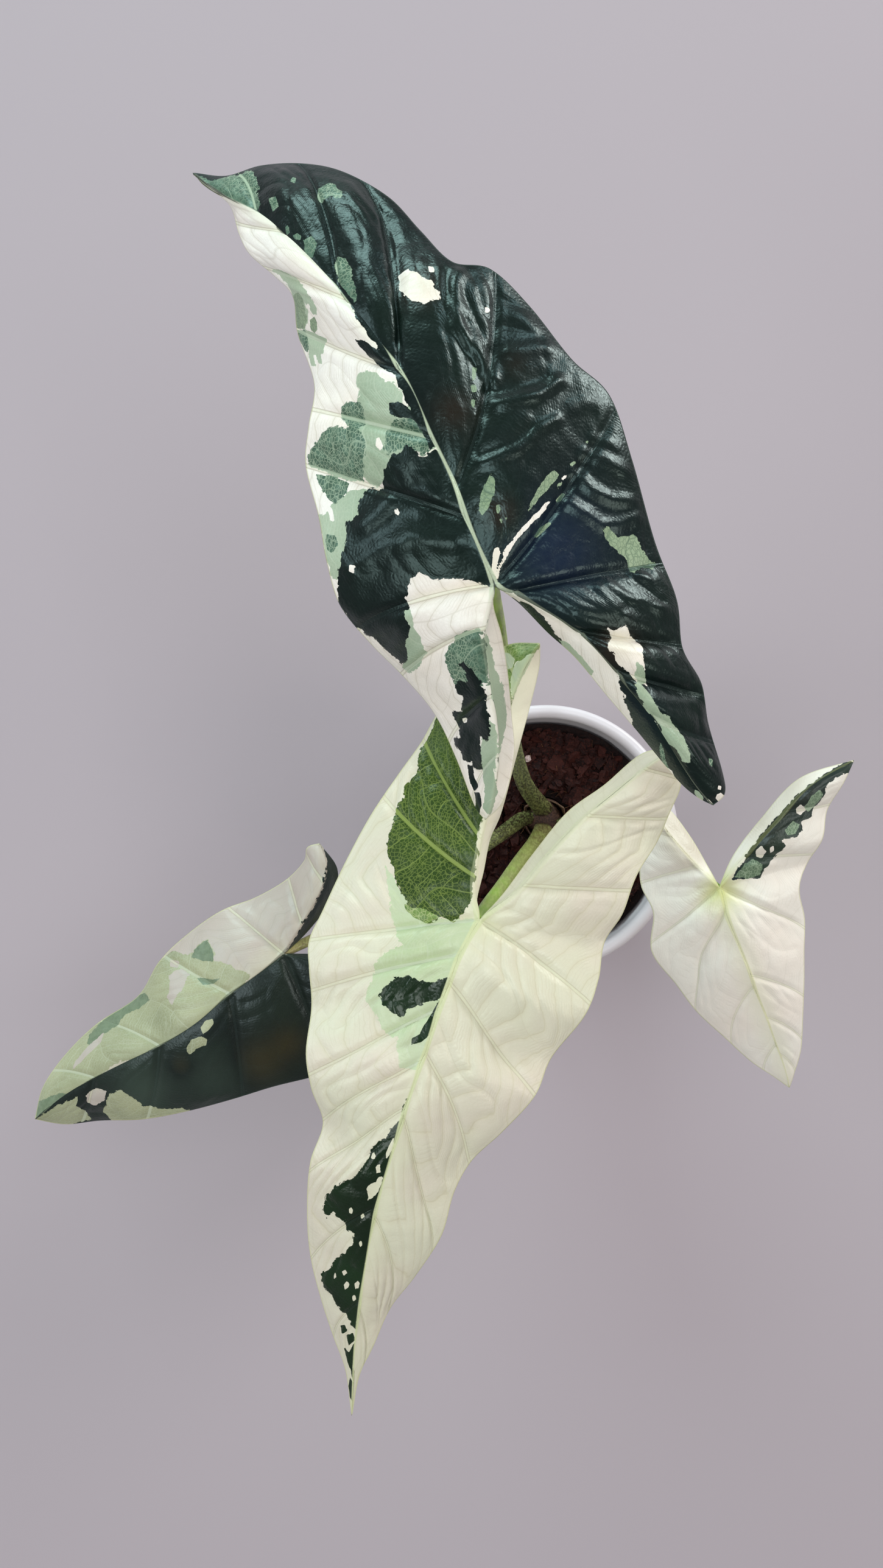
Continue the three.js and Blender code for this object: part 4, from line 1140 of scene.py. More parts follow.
def leaf_colour(add, mark, inside, vein, cloud, fleck, tone):
    """The cream ground with its painted shade and light, the colours on it, and the ribs, margin and
    underside over all.
    """
    strength = vein_strengths(add, vein, tone)
    # Cream is warmer in clouds, greener near the ribs, and darker round the stout cross veins, which is
    # painted shade in their creases
    by_rib = add("ramp", mark["rib"], 0.0, 7.0, 0.4, 0.0)
    colour = layered(
        add, add("blend", cloud, tone["cream"], tone["cream_warm"]),
        (add("times", by_rib, add("ramp", mark["lobe"], 0.0, 1.0, 1.0, 0.3)), tone["cream_green"]),
        (strength["cream"], tone["vein_cream"]),
        (add("times", vein.cord, 0.4), tone["cream_green"]),
        # painted shade in the creases round the stout cross veins
        (add("times", add("ramp", vein.to_stout, 0.0, 1.0, 0.3, 0.0), vein.near_rib), tone["painted_crease_shade"]),
        # painted light from the tint spots below 0, lighter or darker than the cream
        (add("ramp", mark["tint"], 0.0, -1.0, 0.0, tone["fade"]), tone["painted_light_on_cream"]),
        (add("ramp", mark["tint"], 0.0, 1.0, 0.0, tone["flush"]), tone["rib"]),
    )
    layers = {
        "sage": add("blend", cloud, tone["sage"], tone["sage_deep"]),
        "green": add("blend", cloud, tone["green"], tone["green_deep"]),
        "net": add("blend", fleck, tone["net"], tone["net_deep"]),
        "dark": layered(
            add, add("blend", cloud, tone["dark"], tone["dark_green"]),
            (add("ramp", mark["tint"], 0.0, 1.0), tone["dark_navy"]),
            (add("ramp", mark["tint"], 0.0, -1.0), tone["dark_brown"]),
        ),
    }
    for kind, layer in layers.items():
        layer = add("blend", strength[kind], layer, tone["vein_" + kind])
        colour = add("blend", inside[kind], colour, layer)
    # Ribs are pale, those of the lobes fainter, with a dark groove on some; a line runs along the margin
    rib_share = add("ramp", mark["lobe"], 0.0, 1.0, tone["rib_strength"], tone["lobe_strength"])
    in_groove = add("ramp", mark["run"], 0.1, 0.3, tone["groove"], 0.0)
    lip = add("blend", inside["dark"], tone["lip"], tone["lip_dark"])
    return layered(
        add, colour,
        (add("times", add("ramp", mark["rib"], -0.12, 0.12, 1.0, 0.0), rib_share), tone["rib"]),
        (add("times", in_groove, add("ramp", mark["lobe"], 0.0, 0.3, 1.0, 0.0)), tone["dark"]),
        (add("ramp", mark["edge"], 0.3, 0.6, 0.6, 0.0), lip),
        (add("times", mark["under"], 0.35), tone["under"]),
    )


# %% The blade's finish


def leaf_relief(add, spot, mark, inside, vein):
    """Fine relief in mm: lines sunk beside the side veins, small pillows between fine cross veins, and a
    leathery grain, drawn coarser than it is, so that it shows."""
    swell = add("MapRange", vein.to_cross, 0.0, 0.45, interpolation_type="SMOOTHSTEP")
    pillow = add("sum", add("ramp", inside["dark"], 0.0, 1.0, 0.03, 0.015), add("times", mark["crimp"], 0.02))
    for share in (pillow, vein.comes_and_goes, add("ramp", mark["rib"], 0.0, 5.0)):
        swell = add("times", swell, share)
    grain = add("TexVoronoi", spot, per(0.8), feature="SMOOTH_F1")
    grain = add("times", grain, add("ramp", inside["dark"], 0.0, 1.0, 0.03, 0.045))
    height = add("times", vein.beside, -0.06)
    for part in (swell, grain, add("times", vein.mesh, 0.06)):
        height = add("sum", height, part)
    return height


def leaf_finish(name, tone):
    """The whole skin of a blade. The near-black shines most, the underside least."""
    material, add = new_finish(name)
    spot = add("TexCoord", out="Object")
    read = (*COLOURS, *MEASURES, "under", "tint")
    mark = {key: add("Attribute", out="Fac", attribute_name=key) for key in read}
    inside = leaf_borders(add, spot, mark)
    vein = leaf_veins(add, spot, mark)
    cloud = add("ramp", add("TexNoise", spot, per(26), 2.0), 0.35, 0.65)
    fleck = add("ramp", add("TexNoise", spot, per(2.2), 4.0), 0.4, 0.7)
    colour = leaf_colour(add, mark, inside, vein, cloud, fleck, tone)
    shine = add("ramp", inside["dark"], 0.0, 1.0, 0.36, tone["dark_rough"])
    shine = add("sum", add("sum", shine, add("times", fleck, 0.07)), add("times", mark["under"], 0.18))
    relief = add("Bump", Strength=1.0, Distance=MM, Height=leaf_relief(add, spot, mark, inside, vein))
    skin = add("BsdfPrincipled", Base_Color=colour, Roughness=shine, IOR=1.45, Normal=relief,
               Specular_Tint=tone["sheen"])
    add("OutputMaterial", skin)
    print(name, "uses", len(material.node_tree.nodes), "nodes")
    return material


# %% Tones of the four blades
# Two cream tones are painted light: one darkens cream in the creases round the stout cross veins, the other
# is laid on cream by the tint spots below 0
tones = {
    "cream": "#F6F3E4", "cream_warm": "#F3EAD6", "cream_green": "#DFE4BE", "painted_crease_shade": "#D9D2BC",
    "painted_light_on_cream": "#CBC1A8", "vein_cream": "#B5AE92",
    "sage": "#B2C4A6", "sage_deep": "#9DB293", "vein_sage": "#D2DDC2",
    "green": "#4F692B", "green_deep": "#3B5420", "vein_green": "#A6B878",
    "net": "#6C8870", "net_deep": "#4D6853", "vein_net": "#B4C8A8",
    "dark": "#0C1413", "dark_green": "#0F1B15", "dark_navy": "#131E33", "dark_brown": "#26180E",
    "dark_rough": 0.3, "vein_dark": "#3E4E4A", "veins_on_dark": 0.12,
    "rib": "#CBD4A2", "rib_strength": 0.85, "lobe_strength": 0.2, "groove": 0.0,
    "lip": "#CDCF9E", "lip_dark": "#33423A", "under": "#A9B08C", "sheen": "#DDF4F4",
    "flush": 0.0, "fade": 0.0,
}
own_tones = {
    "top": {
        "cream": "#FDFBEE", "cream_warm": "#FAF3E2", "painted_light_on_cream": "#DED8C2", "fade": 0.9,
        "green": "#9DB18E", "green_deep": "#7F9673", "vein_green": "#465E4B",
        "net": "#587660", "net_deep": "#38523F", "dark_rough": 0.27,
        "rib": "#C6D4B2", "groove": 0.85, "sheen": "#CDF3EA",
    },
    "centre": {
        "cream": "#E0E1C5", "cream_warm": "#E1DBC5", "painted_crease_shade": "#D3CFAC", "vein_cream": "#C6C1A1",
        # Brighter than the cream: painted light for the top lobe, which lies in shade
        "painted_light_on_cream": "#FFFFE0", "fade": 1.0, "flush": 0.35,
        "sage": "#BDCFA0", "sage_deep": "#CBD9B2",
        "green": "#3B5614", "green_deep": "#243B0F", "vein_green": "#899D4D",
        "net": "#7C9A4C", "net_deep": "#5C7A3C", "vein_net": "#C2CE90",
        "dark": "#0E200D", "dark_green": "#173016", "dark_rough": 0.24,
        "rib": "#D3DCA8", "lobe_strength": 0.25, "sheen": "#F4FFF4",
    },
    "left": {
        "cream": "#C4BEB0", "cream_warm": "#BFB3A6", "painted_crease_shade": "#B8B1A4",
        "sage": "#B1B68F", "sage_deep": "#939975",
        "net": "#7E8F72", "net_deep": "#6A7C5F", "vein_net": "#7F9174",
        "dark": "#171E1A", "dark_green": "#222C24", "dark_navy": "#38463B", "dark_brown": "#3A351F",
        "rib": "#3A4433", "rib_strength": 0.6, "lobe_strength": 0.0,
    },
    "right": {
        "cream": "#F5F3E4", "cream_warm": "#F3ECDC", "painted_crease_shade": "#EEE9DA", "vein_cream": "#DEDAC5",
        "fade": 0.8, "flush": 0.75,
        "net": "#6E8768", "net_deep": "#50694E", "dark": "#26332C", "dark_green": "#31402F",
        "rib": "#CDD27C", "rib_strength": 0.35, "lobe_strength": 0.15,
    },
}
for name, blade in blades.items():
    blade.data.materials.append(leaf_finish(f"waxy leaf, {name}", {**tones, **own_tones[name]}))

# %% [markdown]
# ## Stalks
#
# A leaf stalk is a smooth round stem, thick and clasping at the foot and thin under the blade. It is a
# ring carried along a curve. Its foot has a flat groove on the side towards the plant's middle, where
# the next young leaf would slide out. The green turns to a pinkish brown near the mix.

# %% Stalks along their curves


def stalk_surface(path, radii, around=28, along=120):
    """A tube: centre c(s) from the curve, a ring of radius r(s) square to it. Near the foot the ring is
    dented by 0.3 r * bump(angle, 0.45) and drawn wide by 0.14 r, and its radius sways by 3%."""
    s = np.linspace(0, 1, along)
    centre = curve(path, s)
    tangent = np.gradient(centre, axis=0)
    tangent /= np.linalg.norm(tangent, axis=1, keepdims=True)
    side = np.cross(tangent, [0.0, 1.0, 0.0])
    side /= np.linalg.norm(side, axis=1, keepdims=True)
    front = np.cross(tangent, side)
    radius = np.interp(s * (len(radii) - 1), np.arange(len(radii)), radii)
    radius = np.convolve(np.pad(radius, 6, mode="edge"), np.ones(13) / 13, "valid")
    angle = np.linspace(0, 2 * np.pi, around, endpoint=False)
    turn = (angle + np.pi) % (2 * np.pi) - np.pi
    foot = 1 - ease(0.12, 0.42, s)[:, None]
    form = 1 - 0.3 * foot * bump(turn, 0.45) + 0.14 * foot * np.cos(2 * turn)
    ring = radius[:, None] * form * (1 + 0.03 * np.sin(9 * s)[:, None])
    way = np.cos(angle)[:, None] * side[:, None] + np.sin(angle)[:, None] * front[:, None]
    return centre[:, None] + ring[..., None] * way, np.repeat(s, around)


def tube_mesh(name, p):
    """Rings joined by quads, with a fan of triangles to a middle point at both ends."""
    rings, around = p.shape[:2]
    grid = np.arange(rings * around).reshape(rings, around)
    following = np.roll(grid, -1, 1)
    low, high = np.full(around, grid.size), np.full(around, grid.size + 1)
    fans = [np.stack([low, following[0], grid[0]], -1), np.stack([high, grid[-1], following[-1]], -1)]
    vertices = np.vstack([p.reshape(-1, 3), p[0].mean(0), p[-1].mean(0)])
    return make_mesh(name, vertices, tube_quads(grid), np.vstack(fans))


# Points of the middle line from the crown up to the blade, and radii at equal steps along it, in mm
stalks = {
    "top": (
        [(-1.6, 12, 90), (-3, 13.2, 104), (-12.4, 24.1, 150), (-20.3, 44.8, 215), (-26.2, 65.4, 297),
         (-29.3, 71, 345), (-30.6, 73.4, 369.2)],
        (4.2, 3.6, 3.1, 2.8, 2.3, 2, 1.7),
    ),
    "centre": (
        [(-1.2, 3.6, 90), (-2.6, 2.4, 104), (-7.6, -0.8, 143), (-16, -5.4, 200), (-24.3, -10.6, 258),
         (-30.6, -14.4, 300), (-33.2, -17, 316.8)],
        (4.2, 3.5, 3, 2.6, 2.2, 1.9, 1.7),
    ),
    "left": (
        [(-5, 8.6, 91), (-11.2, 7.2, 101), (-24, 0, 138), (-50, -14.5, 182), (-78, -27, 209),
         (-92, -33, 217.4), (-98.6, -36.3, 221.2)],
        (3.6, 3.2, 2.7, 2.4, 2, 1.7, 1.4),
    ),
    "right": (
        [(3.8, 6.2, 91), (8.4, 4.6, 101), (18, 1, 128), (33, -5.4, 166), (47, -11, 189),
         (52, -13, 195.4), (55.4, -15.6, 199)],
        (3.6, 3.2, 2.7, 2.3, 1.9, 1.7, 1.4),
    ),
}
stalk_pieces = {}
for name, (path, radii) in stalks.items():
    p, climb = stalk_surface(path, radii)
    piece = tube_mesh(f"stalk_{name}_stem", p)
    give(piece, "climb", [*climb, 0, 1])
    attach(piece, "root")
    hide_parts(f"stalk_{name}")
    stalk_pieces[name] = piece

# %% The stalks' finish: smooth green skin


def stalk_finish(name, top, middle, foot):
    """Smooth young stem skin: green above, pinkish brown at the foot, with fine pale lengthwise streaks
    and a satin gloss, so that a long soft light runs up each stem."""
    material, add = new_finish(name)
    spot = add("TexCoord", out="Object")
    climb = add("Attribute", out="Fac", attribute_name="climb")
    climb = add("sum", climb, add("ramp", add("TexNoise", spot, per(12), 3.0), 0.3, 0.7, -0.12, 0.12))
    colour = add("blend", add("ramp", climb, 0.08, 0.5), foot, middle)
    colour = add("blend", add("ramp", climb, 0.55, 0.95), colour, top)
    # Streaks 0.7 mm wide and about 15 mm long, drawn out along the stem's mainly upright way
    drawn = add("Mapping", spot, Scale=(1.0, 1.0, 0.045))
    streak = add("ramp", add("TexNoise", drawn, per(0.7), 2.0), 0.4, 0.65, 0.0, 0.35)
    colour = add("blend", streak, colour, "#C6D480")
    relief = add("Bump", Strength=0.5, Distance=0.1 * MM, Height=streak)
    skin = add("BsdfPrincipled", Base_Color=colour, Roughness=0.36, IOR=1.46, Normal=relief)
    add("OutputMaterial", skin)
    return material


for name, skin_name, top, middle, foot in (
    ("top", "smooth bright stalk skin", "#B2DC3E", "#4A5429", "#33251B"),
    ("centre", "smooth green stalk skin", "#90C02A", "#8C9A48", "#5E4534"),
    ("left", "smooth buff stalk skin", "#ABA06C", "#4A5429", "#33251B"),
    ("right", "smooth dusky stalk skin", "#86AE2A", "#4A5429", "#33251B"),
):
    stalk_pieces[name].data.materials.append(stalk_finish(skin_name, top, middle, foot))

# %% [markdown]
# ## The crown
#
# All stalks rise from a short stem that is wrapped in the feet of old leaves. It is a turned shape with
# rings where leaves have fallen, and a few dry, papery scales stand off it.

# %% The crown and its dry scales
CROWN_AT = (-0.5, 7.6)
CROWN_RADIUS = 9.0
CROWN_HEIGHT = 14.0
CROWN_DEPTH = 24.0
RING_SPACING = 3.1
SCALE_THICKNESS = 0.35
SOIL_TOP = 85.0
TOUCH_GAP = 0.3


def round_points(radius, angle, z, centre=(0.0, 0.0)):
    """Points at a radius and an angle round an upright axis, and at a height: x = centre + r cos a,
    y = centre + r sin a."""
    x = centre[0] + radius * np.cos(angle)
    y = centre[1] + radius * np.sin(angle)
    return np.stack(np.broadcast_arrays(x, y, z), -1)


def full_turn(count):
    """Equal angles round a full turn."""
    return np.linspace(0, 2 * np.pi, count, endpoint=False)


def turned_points(profile, around, centre=(0.0, 0.0), wobble=0.0, seed=0):
    """A profile of (radius, height) carried round an upright axis; wobble adds a soft noise to the
    radius in mm, less where it is under 3 mm."""
    radius, z = np.asarray(profile, float).T[..., None]
    angle = full_turn(around)
    if wobble:
        at = round_points(8, angle, z)
        radius = radius + wobble * soft_noise(at, 7, seed) * np.minimum(1, radius / 3)
    return round_points(radius, angle, z, centre)


crown_foot = SOIL_TOP - CROWN_DEPTH + TOUCH_GAP
crown_z = np.linspace(crown_foot, SOIL_TOP + CROWN_HEIGHT, 70)
crown_r = np.interp(
    crown_z - SOIL_TOP,
    [crown_foot - SOIL_TOP, crown_foot - SOIL_TOP + 4, 1, 8.4, 11.6, 13.4, 14],
    [6.3, 8.8, 8.8, 7.2, 6.0, 3.7, 0.6],
)
# A ring where a leaf has fallen is 0.28 mm lower than the rest
crown_r -= 0.28 * (np.abs(np.sin(crown_z * np.pi / RING_SPACING)) < 0.3)
crown_piece = tube_mesh("crown_stem", turned_points(np.stack([crown_r, crown_z], -1), 64, CROWN_AT, 0.2, 5))
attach(crown_piece, "root")
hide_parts("crown")


def scale_points(turn, width, height, lean, rows=18, columns=14):
    """A dry scale: a strip bent round the crown that narrows to a point and leans outwards by
    lean * v^2, doubled SCALE_THICKNESS apart to give it two faces."""
    v = np.linspace(0, 1, rows)[:, None]
    u = np.linspace(-1, 1, columns)[None, :]
    angle = turn + u * width * (1 - 0.95 * v**1.7) / CROWN_RADIUS
    radius = 8.6 - 1.6 * v + lean * v**2 + 0.25 * np.cos(9 * u) * v
    z = SOIL_TOP - 1.5 + height * v
    return [round_points(radius - inwards, angle, z, CROWN_AT) for inwards in (0, SCALE_THICKNESS)]


def sheet_mesh(name, sheets):
    """Pairs of equal grids, outer and inner, each closed round its four edges to a thin solid."""
    vertices, quads, offset = [], [], 0
    for outer, inner in sheets:
        rows, columns = outer.shape[:2]
        a = np.arange(rows * columns).reshape(rows, columns) + offset
        b = a + a.size
        ring = np.concatenate([a[0, :-1], a[:-1, -1], a[-1, :0:-1], a[:0:-1, 0]])
        band = np.append(ring, ring[0])
        quads += [cells(a.T), cells(b), cells(np.array([band, band + a.size]))]
        vertices += [outer.reshape(-1, 3), inner.reshape(-1, 3)]
        offset += 2 * a.size
    return make_mesh(name, np.vstack(vertices), np.vstack(quads))


# Turn in radians, width, height and lean in mm
scales = [
    scale_points(0.6, 7, 22, 1.5), scale_points(2.6, 6, 15, 3.0),
    scale_points(4.1, 8, 18, 2.0), scale_points(5.4, 5, 11, 3.5),
]
scale_piece = sheet_mesh("crown_dry_scales", scales)
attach(scale_piece, "root")

# %% The crown's finish: fibrous brown skin


def husk_finish(name, light, dark, fibre_mm, roughness):
    """Dried leaf tissue: dull, with upright fibres, light on them and dark between them."""
    material, add = new_finish(name)
    drawn = add("Mapping", add("TexCoord", out="Object"), Scale=(1.0, 1.0, 0.12))
    fibre = add("TexNoise", drawn, per(fibre_mm), 5.0)
    colour = add("blend", add("ramp", fibre, 0.32, 0.68), dark, light)
    relief = add("Bump", Strength=1.0, Distance=0.35 * MM, Height=fibre)
    skin = add("BsdfPrincipled", Base_Color=colour, Roughness=roughness, Normal=relief)
    add("OutputMaterial", skin)
    return material


crown_piece.data.materials.append(husk_finish("old leaf feet on the crown", "#6B4B3A", "#33221A", 0.7, 0.6))
scale_piece.data.materials.append(husk_finish("dry papery scales", "#7D5F45", "#4A3325", 0.5, 0.75))

# %% [markdown]
# ## The mix in the pot
#
# The plant grows in damp coco chips. A rough bed fills the pot, with a plain hole for the crown, and
# chips, crumbs, pale grains and threads lie on it. Each chip is a small block whose points are pushed
# about, so no two are alike, and all chips of a kind are one mesh, made as one array.

# %% The bed of the mix
POT_HEIGHT = 95.0
BASE_RADIUS = 38.0
BODY_TOP_RADIUS = 51.5
WALL = 2.0
FLOOR = 3.0
BED_AROUND = 240
BED_RINGS = 90


def inner_radius(z):
    """The pot's inside is a cone, WALL in from its outer cone."""
    return BASE_RADIUS + (BODY_TOP_RADIUS - BASE_RADIUS) * z / POT_HEIGHT - WALL


def bed_height(x, y):
    """The bed's top: 84.5 mm, heaped by 1 mm in the middle, and rough by 0.9 mm."""
    at = np.stack([x, y], -1)
    away = np.hypot(x, y) / 48
    return 84.5 + 1.0 * (1 - away**2) + 0.6 * soft_noise(at, 9, 31) + 0.35 * soft_noise(at, 3.2, 32)


# From the hole's wall out to the pot's wall: the hole isn't in the pot's middle, so each ring slides
turns = full_turn(BED_AROUND)
hole_foot = round_points(CROWN_RADIUS + TOUCH_GAP, turns, SOIL_TOP - CROWN_DEPTH, CROWN_AT)
wall = round_points(inner_radius(83) - TOUCH_GAP, turns, 0.0)
near = hole_foot[:, :2]
xy = near + (wall[:, :2] - near) * np.linspace(0, 1, BED_RINGS)[:, None, None]
top_face = np.concatenate([xy, bed_height(xy[..., 0], xy[..., 1])[..., None]], -1)
bed_foot = round_points(inner_radius(FLOOR + TOUCH_GAP) - TOUCH_GAP, turns, FLOOR + TOUCH_GAP)
bed = tube_mesh("soil_bed", np.concatenate([hole_foot[None], top_face, bed_foot[None]])[::-1])
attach(bed, "root")
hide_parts("soil")

# %% Chips


def turn_matrices(yaw, pitch, roll):
    """One 3 by 3 matrix for each chip: roll about its length, then pitch, then yaw."""
    cy, sy, cp, sp, cr, sr = (f(a) for a in (yaw, pitch, roll) for f in (np.cos, np.sin))
    one, zero = np.ones_like(yaw), np.zeros_like(yaw)
    rz = np.stack([cy, -sy, zero, sy, cy, zero, zero, zero, one], -1).reshape(-1, 3, 3)
    ry = np.stack([cp, zero, sp, zero, one, zero, -sp, zero, cp], -1).reshape(-1, 3, 3)
    rx = np.stack([one, zero, zero, zero, cr, -sr, zero, sr, cr], -1).reshape(-1, 3, 3)
    return rz @ ry @ rx


def scatter(count, seed, reach, keep_off):
    """Random spots in the pot's mouth, even in area, none nearer to the crown than keep_off. Four times
    too many are drawn, so that enough are left."""
    draw = np.random.default_rng(seed)
    radius = reach * np.sqrt(draw.uniform(0, 1, 4 * count))
    xy = round_points(radius, draw.uniform(0, 2 * np.pi, 4 * count), 0.0)[:, :2]
    clear = np.linalg.norm(xy - CROWN_AT, axis=1) > keep_off
    return xy[clear][:count], draw


def copies(faces, count, points_each):
    """The same faces for each of count copies, whose points follow one another."""
    return (faces + points_each * np.arange(count)[:, None, None]).reshape(-1, faces.shape[1])


def chip_mesh(name, count, seed, size, thickness, lift):
    """Chips: a 4 by 3 by 2 block of points each, narrower at its ends, with every point pushed about by
    up to 22% of the size, turned at random and laid on the bed."""
    xy, draw = scatter(count, seed, reach=43.0, keep_off=12.5)
    count = len(xy)
    steps = (np.linspace(-1, 1, 4), np.linspace(-1, 1, 3), [-1.0, 1.0])
    block = np.stack(np.meshgrid(*steps, indexing="ij"), -1).reshape(-1, 3)
    block = block * (1 - 0.28 * block[:, :1] ** 2 * np.array([[0, 1, 1]]))
    each = len(block)
    shape = np.stack([draw.uniform(*size, count), draw.uniform(*size, count) * 0.6,
                      draw.uniform(*thickness, count)], -1) / 2
    p = block[None] * shape[:, None] * (1 + draw.uniform(-0.22, 0.22, (count, each, 3)))
    yaw = draw.uniform(0, 2 * np.pi, count)
    pitch, roll = draw.normal(0, 0.35, count), draw.normal(0, 0.35, count)
    p = np.einsum("nij,nkj->nki", turn_matrices(yaw, pitch, roll), p)
    z = bed_height(xy[:, 0], xy[:, 1]) + draw.uniform(*lift, count)
    p += np.concatenate([xy, z[:, None]], -1)[:, None]
    i = np.arange(each).reshape(4, 3, 2)
    sides = (i[:, :, 1], i[:, :, 0].T, i[:, 0], i[:, 2].T, i[0].T, i[3])
    faces = np.vstack([cells(side) for side in sides])
    piece = make_mesh(name, p.reshape(-1, 3), copies(faces, count, each), smooth=False)
    give(piece, "own", np.repeat(draw.uniform(0, 1, count), each))
    return piece


# Name, how many, seed, least and most length, thickness and height over the bed in mm
chips = chip_mesh("soil_chips", 1150, 11, (4.0, 9.0), (1.2, 3.0), (-0.2, 1.6))
crumbs = chip_mesh("soil_crumbs", 1500, 12, (1.2, 3.2), (0.8, 1.6), (0.0, 2.4))
perlite = chip_mesh("soil_pale_grit", 26, 13, (2.2, 4.4), (1.8, 3.2), (0.8, 2.2))

# %% Threads
THREAD_RADIUS = 0.16
THREAD_RINGS = 9
SIDE_REACH = 44
MOUTH_REACH = 45


def thread_mesh(name, count, seed):
    """Coco threads: three-sided tubes 0.3 mm thick that thin out to their ends, bent to arcs of 6 to
    16 mm on the bed: across = half length * bend * (s^2 - 0.4), with s from -1 to 1 along it."""
    xy, draw = scatter(count, seed, reach=41.0, keep_off=11.0)
    count = len(xy)
    s = np.linspace(-1, 1, THREAD_RINGS)
    half = draw.uniform(3, 8, count)[:, None]
    bend = draw.uniform(-0.5, 0.5, count)[:, None]
    yaw = draw.uniform(0, 2 * np.pi, count)[:, None]
    along = half * s
    across = half * bend * (s**2 - 0.4)
    x = np.clip(xy[:, :1] + along * np.cos(yaw) - across * np.sin(yaw), -SIDE_REACH, SIDE_REACH)
    y = xy[:, 1:] + along * np.sin(yaw) + across * np.cos(yaw)
    within = np.minimum(1, MOUTH_REACH / np.hypot(x, y))
    x, y = x * within, y * within
    z = bed_height(x, y) + 1.0 + draw.uniform(0, 1.4, count)[:, None] * (1 - 0.5 * s**2)
    centre = np.stack([x, y, z], -1)[:, :, None]
    angle = full_turn(3)[:, None]
    thick = THREAD_RADIUS * (1 - 0.6 * np.abs(s))[:, None, None]
    sideways = np.stack([-np.sin(yaw), np.cos(yaw), 0 * yaw], -1)[:, :, None]
    p = centre + thick * (np.cos(angle) * sideways + np.sin(angle) * np.array([0, 0, 1.0]))
    i = np.arange(3 * THREAD_RINGS).reshape(-1, 3)
    quads = copies(tube_quads(i), count, i.size)
    piece = make_mesh(name, p.reshape(-1, 3), quads, copies(np.array([i[0, ::-1], i[-1]]), count, i.size))
    give(piece, "own", np.repeat(draw.uniform(0, 1, count), i.size))
    return piece


threads = thread_mesh("soil_threads", 380, 14)
for piece in (chips, crumbs, perlite, threads):
    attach(piece, "root")

# %% Finishes of the mix: damp coco husk, dust, threads and pale grit


def chip_finish(name, dark, mid, light, roughness, grain_mm):
    """Crushed coco husk and the like: dull and rough. Each chip has its own tone from dark to mid, from
    the number kept with it, and light flecks on a cork-like grain."""
    material, add = new_finish(name)
    own = add("Attribute", out="Fac", attribute_name="own")
    grain = add("TexNoise", add("TexCoord", out="Object"), per(grain_mm), 4.0)
    fleck = add("ramp", grain, 0.5, 0.75, 0.0, 0.7)
    colour = add("blend", fleck, add("blend", own, dark, mid), light)
    relief = add("Bump", Strength=1.0, Distance=0.3 * MM, Height=grain)
    skin = add("BsdfPrincipled", Base_Color=colour, Roughness=roughness, Normal=relief,
               Specular_IOR_Level=0.2)
    add("OutputMaterial", skin)
    return material


husk = chip_finish("damp coco husk", "#170705", "#34130C", "#4C2117", 0.75, 0.8)
chips.data.materials.append(husk)
crumbs.data.materials.append(husk)
bed.data.materials.append(chip_finish("damp coco dust", "#120705", "#1D0C08", "#2E1610", 0.8, 1.0))
threads.data.materials.append(chip_finish("coco threads", "#4A2C1D", "#78502F", "#8C6440", 0.6, 0.5))
perlite.data.materials.append(chip_finish("pale volcanic grit", "#B9A29A", "#D8CCC4", "#E8E2DC", 0.8, 0.6))

# %% [markdown]
# ## The pot
#
# A plain white pot of moulded plastic. Moulding gives it a soft rounded rim, a slight taper so that it
# leaves its mould, and a very fine orange-peel skin. It is a profile turned round the axis, with its
# drain holes cut through the floor.

# %% The pot, turned and drilled
DRAIN_HOLES = 5
DRAIN_RADIUS = 3.5
DRAIN_RING = 22
# Radius and height in mm, from the middle of the base out, up, over the rim and down the inside
pot_profile = [
    (0.05, 0.0), (20, 0.0), (37.0, 0.0), (37.6, 0.15), (38.0, 0.6), (38.15, 1.2), (41.2, 24), (44.3, 46),
    (47.5, 68), (50.55, 86.4), (50.75, 86.8), (51.2, 87.0), (54.2, 87.0), (54.7, 87.2), (54.95, 87.8),
    (55.0, 88.6), (55.0, 92.6), (54.85, 93.6), (54.4, 94.4), (53.6, 94.88), (52.6, 95.0), (51.6, 94.9),
    (50.7, 94.4), (50.0, 93.5), (49.6, 92.4), (49.5, 91.0), (49.3, 88.0), (48.9, 86.0), (45.0, 60),
    (41.0, 32), (36.6, 3.8), (36.0, 3.1), (35.0, 3.0), (20, 3.0), (0.05, 3.0),
]
pot_piece = tube_mesh("pot_shell", turned_points(pot_profile, 160))
for k, spot in enumerate(round_points(DRAIN_RING, full_turn(DRAIN_HOLES), 0.0)):
    bpy.ops.mesh.primitive_cylinder_add(
        vertices=24, radius=DRAIN_RADIUS * MM, depth=10 * MM, location=spot * MM
    )
    drill = bpy.context.object
    cut = pot_piece.modifiers.new(f"drain {k}", "BOOLEAN")
    cut.operation, cut.object, cut.solver = "DIFFERENCE", drill, "EXACT"
    bpy.context.view_layer.objects.active = pot_piece
    bpy.ops.object.modifier_apply(modifier=cut.name)
    bpy.data.objects.remove(drill)
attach(pot_piece, "root")
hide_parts("pot")
print("drain holes:", DRAIN_HOLES)

# %% The pot's finish: moulded white plastic
# White plastic with a soft sheen; dust dulls it in clouds. The peel of the mould is finer than 1.6 mm on
# a real pot and is drawn so coarse that it shows.
material, add = new_finish("moulded white polypropylene")
spot = add("TexCoord", out="Object")
peel = add("TexNoise", spot, per(1.6), 2.0)
dust = add("ramp", add("TexNoise", spot, per(18), 4.0), 0.45, 0.75, 0.0, 0.35)
white = add("blend", dust, "#E4E1E2", "#CFC9C6")
worn = add("ramp", dust, 0.0, 0.35, 0.32, 0.46)
relief = add("Bump", Strength=0.6, Distance=0.04 * MM, Height=peel)
skin = add("BsdfPrincipled", Base_Color=white, Roughness=worn, IOR=1.49, Normal=relief)
add("OutputMaterial", skin)
pot_piece.data.materials.append(material)

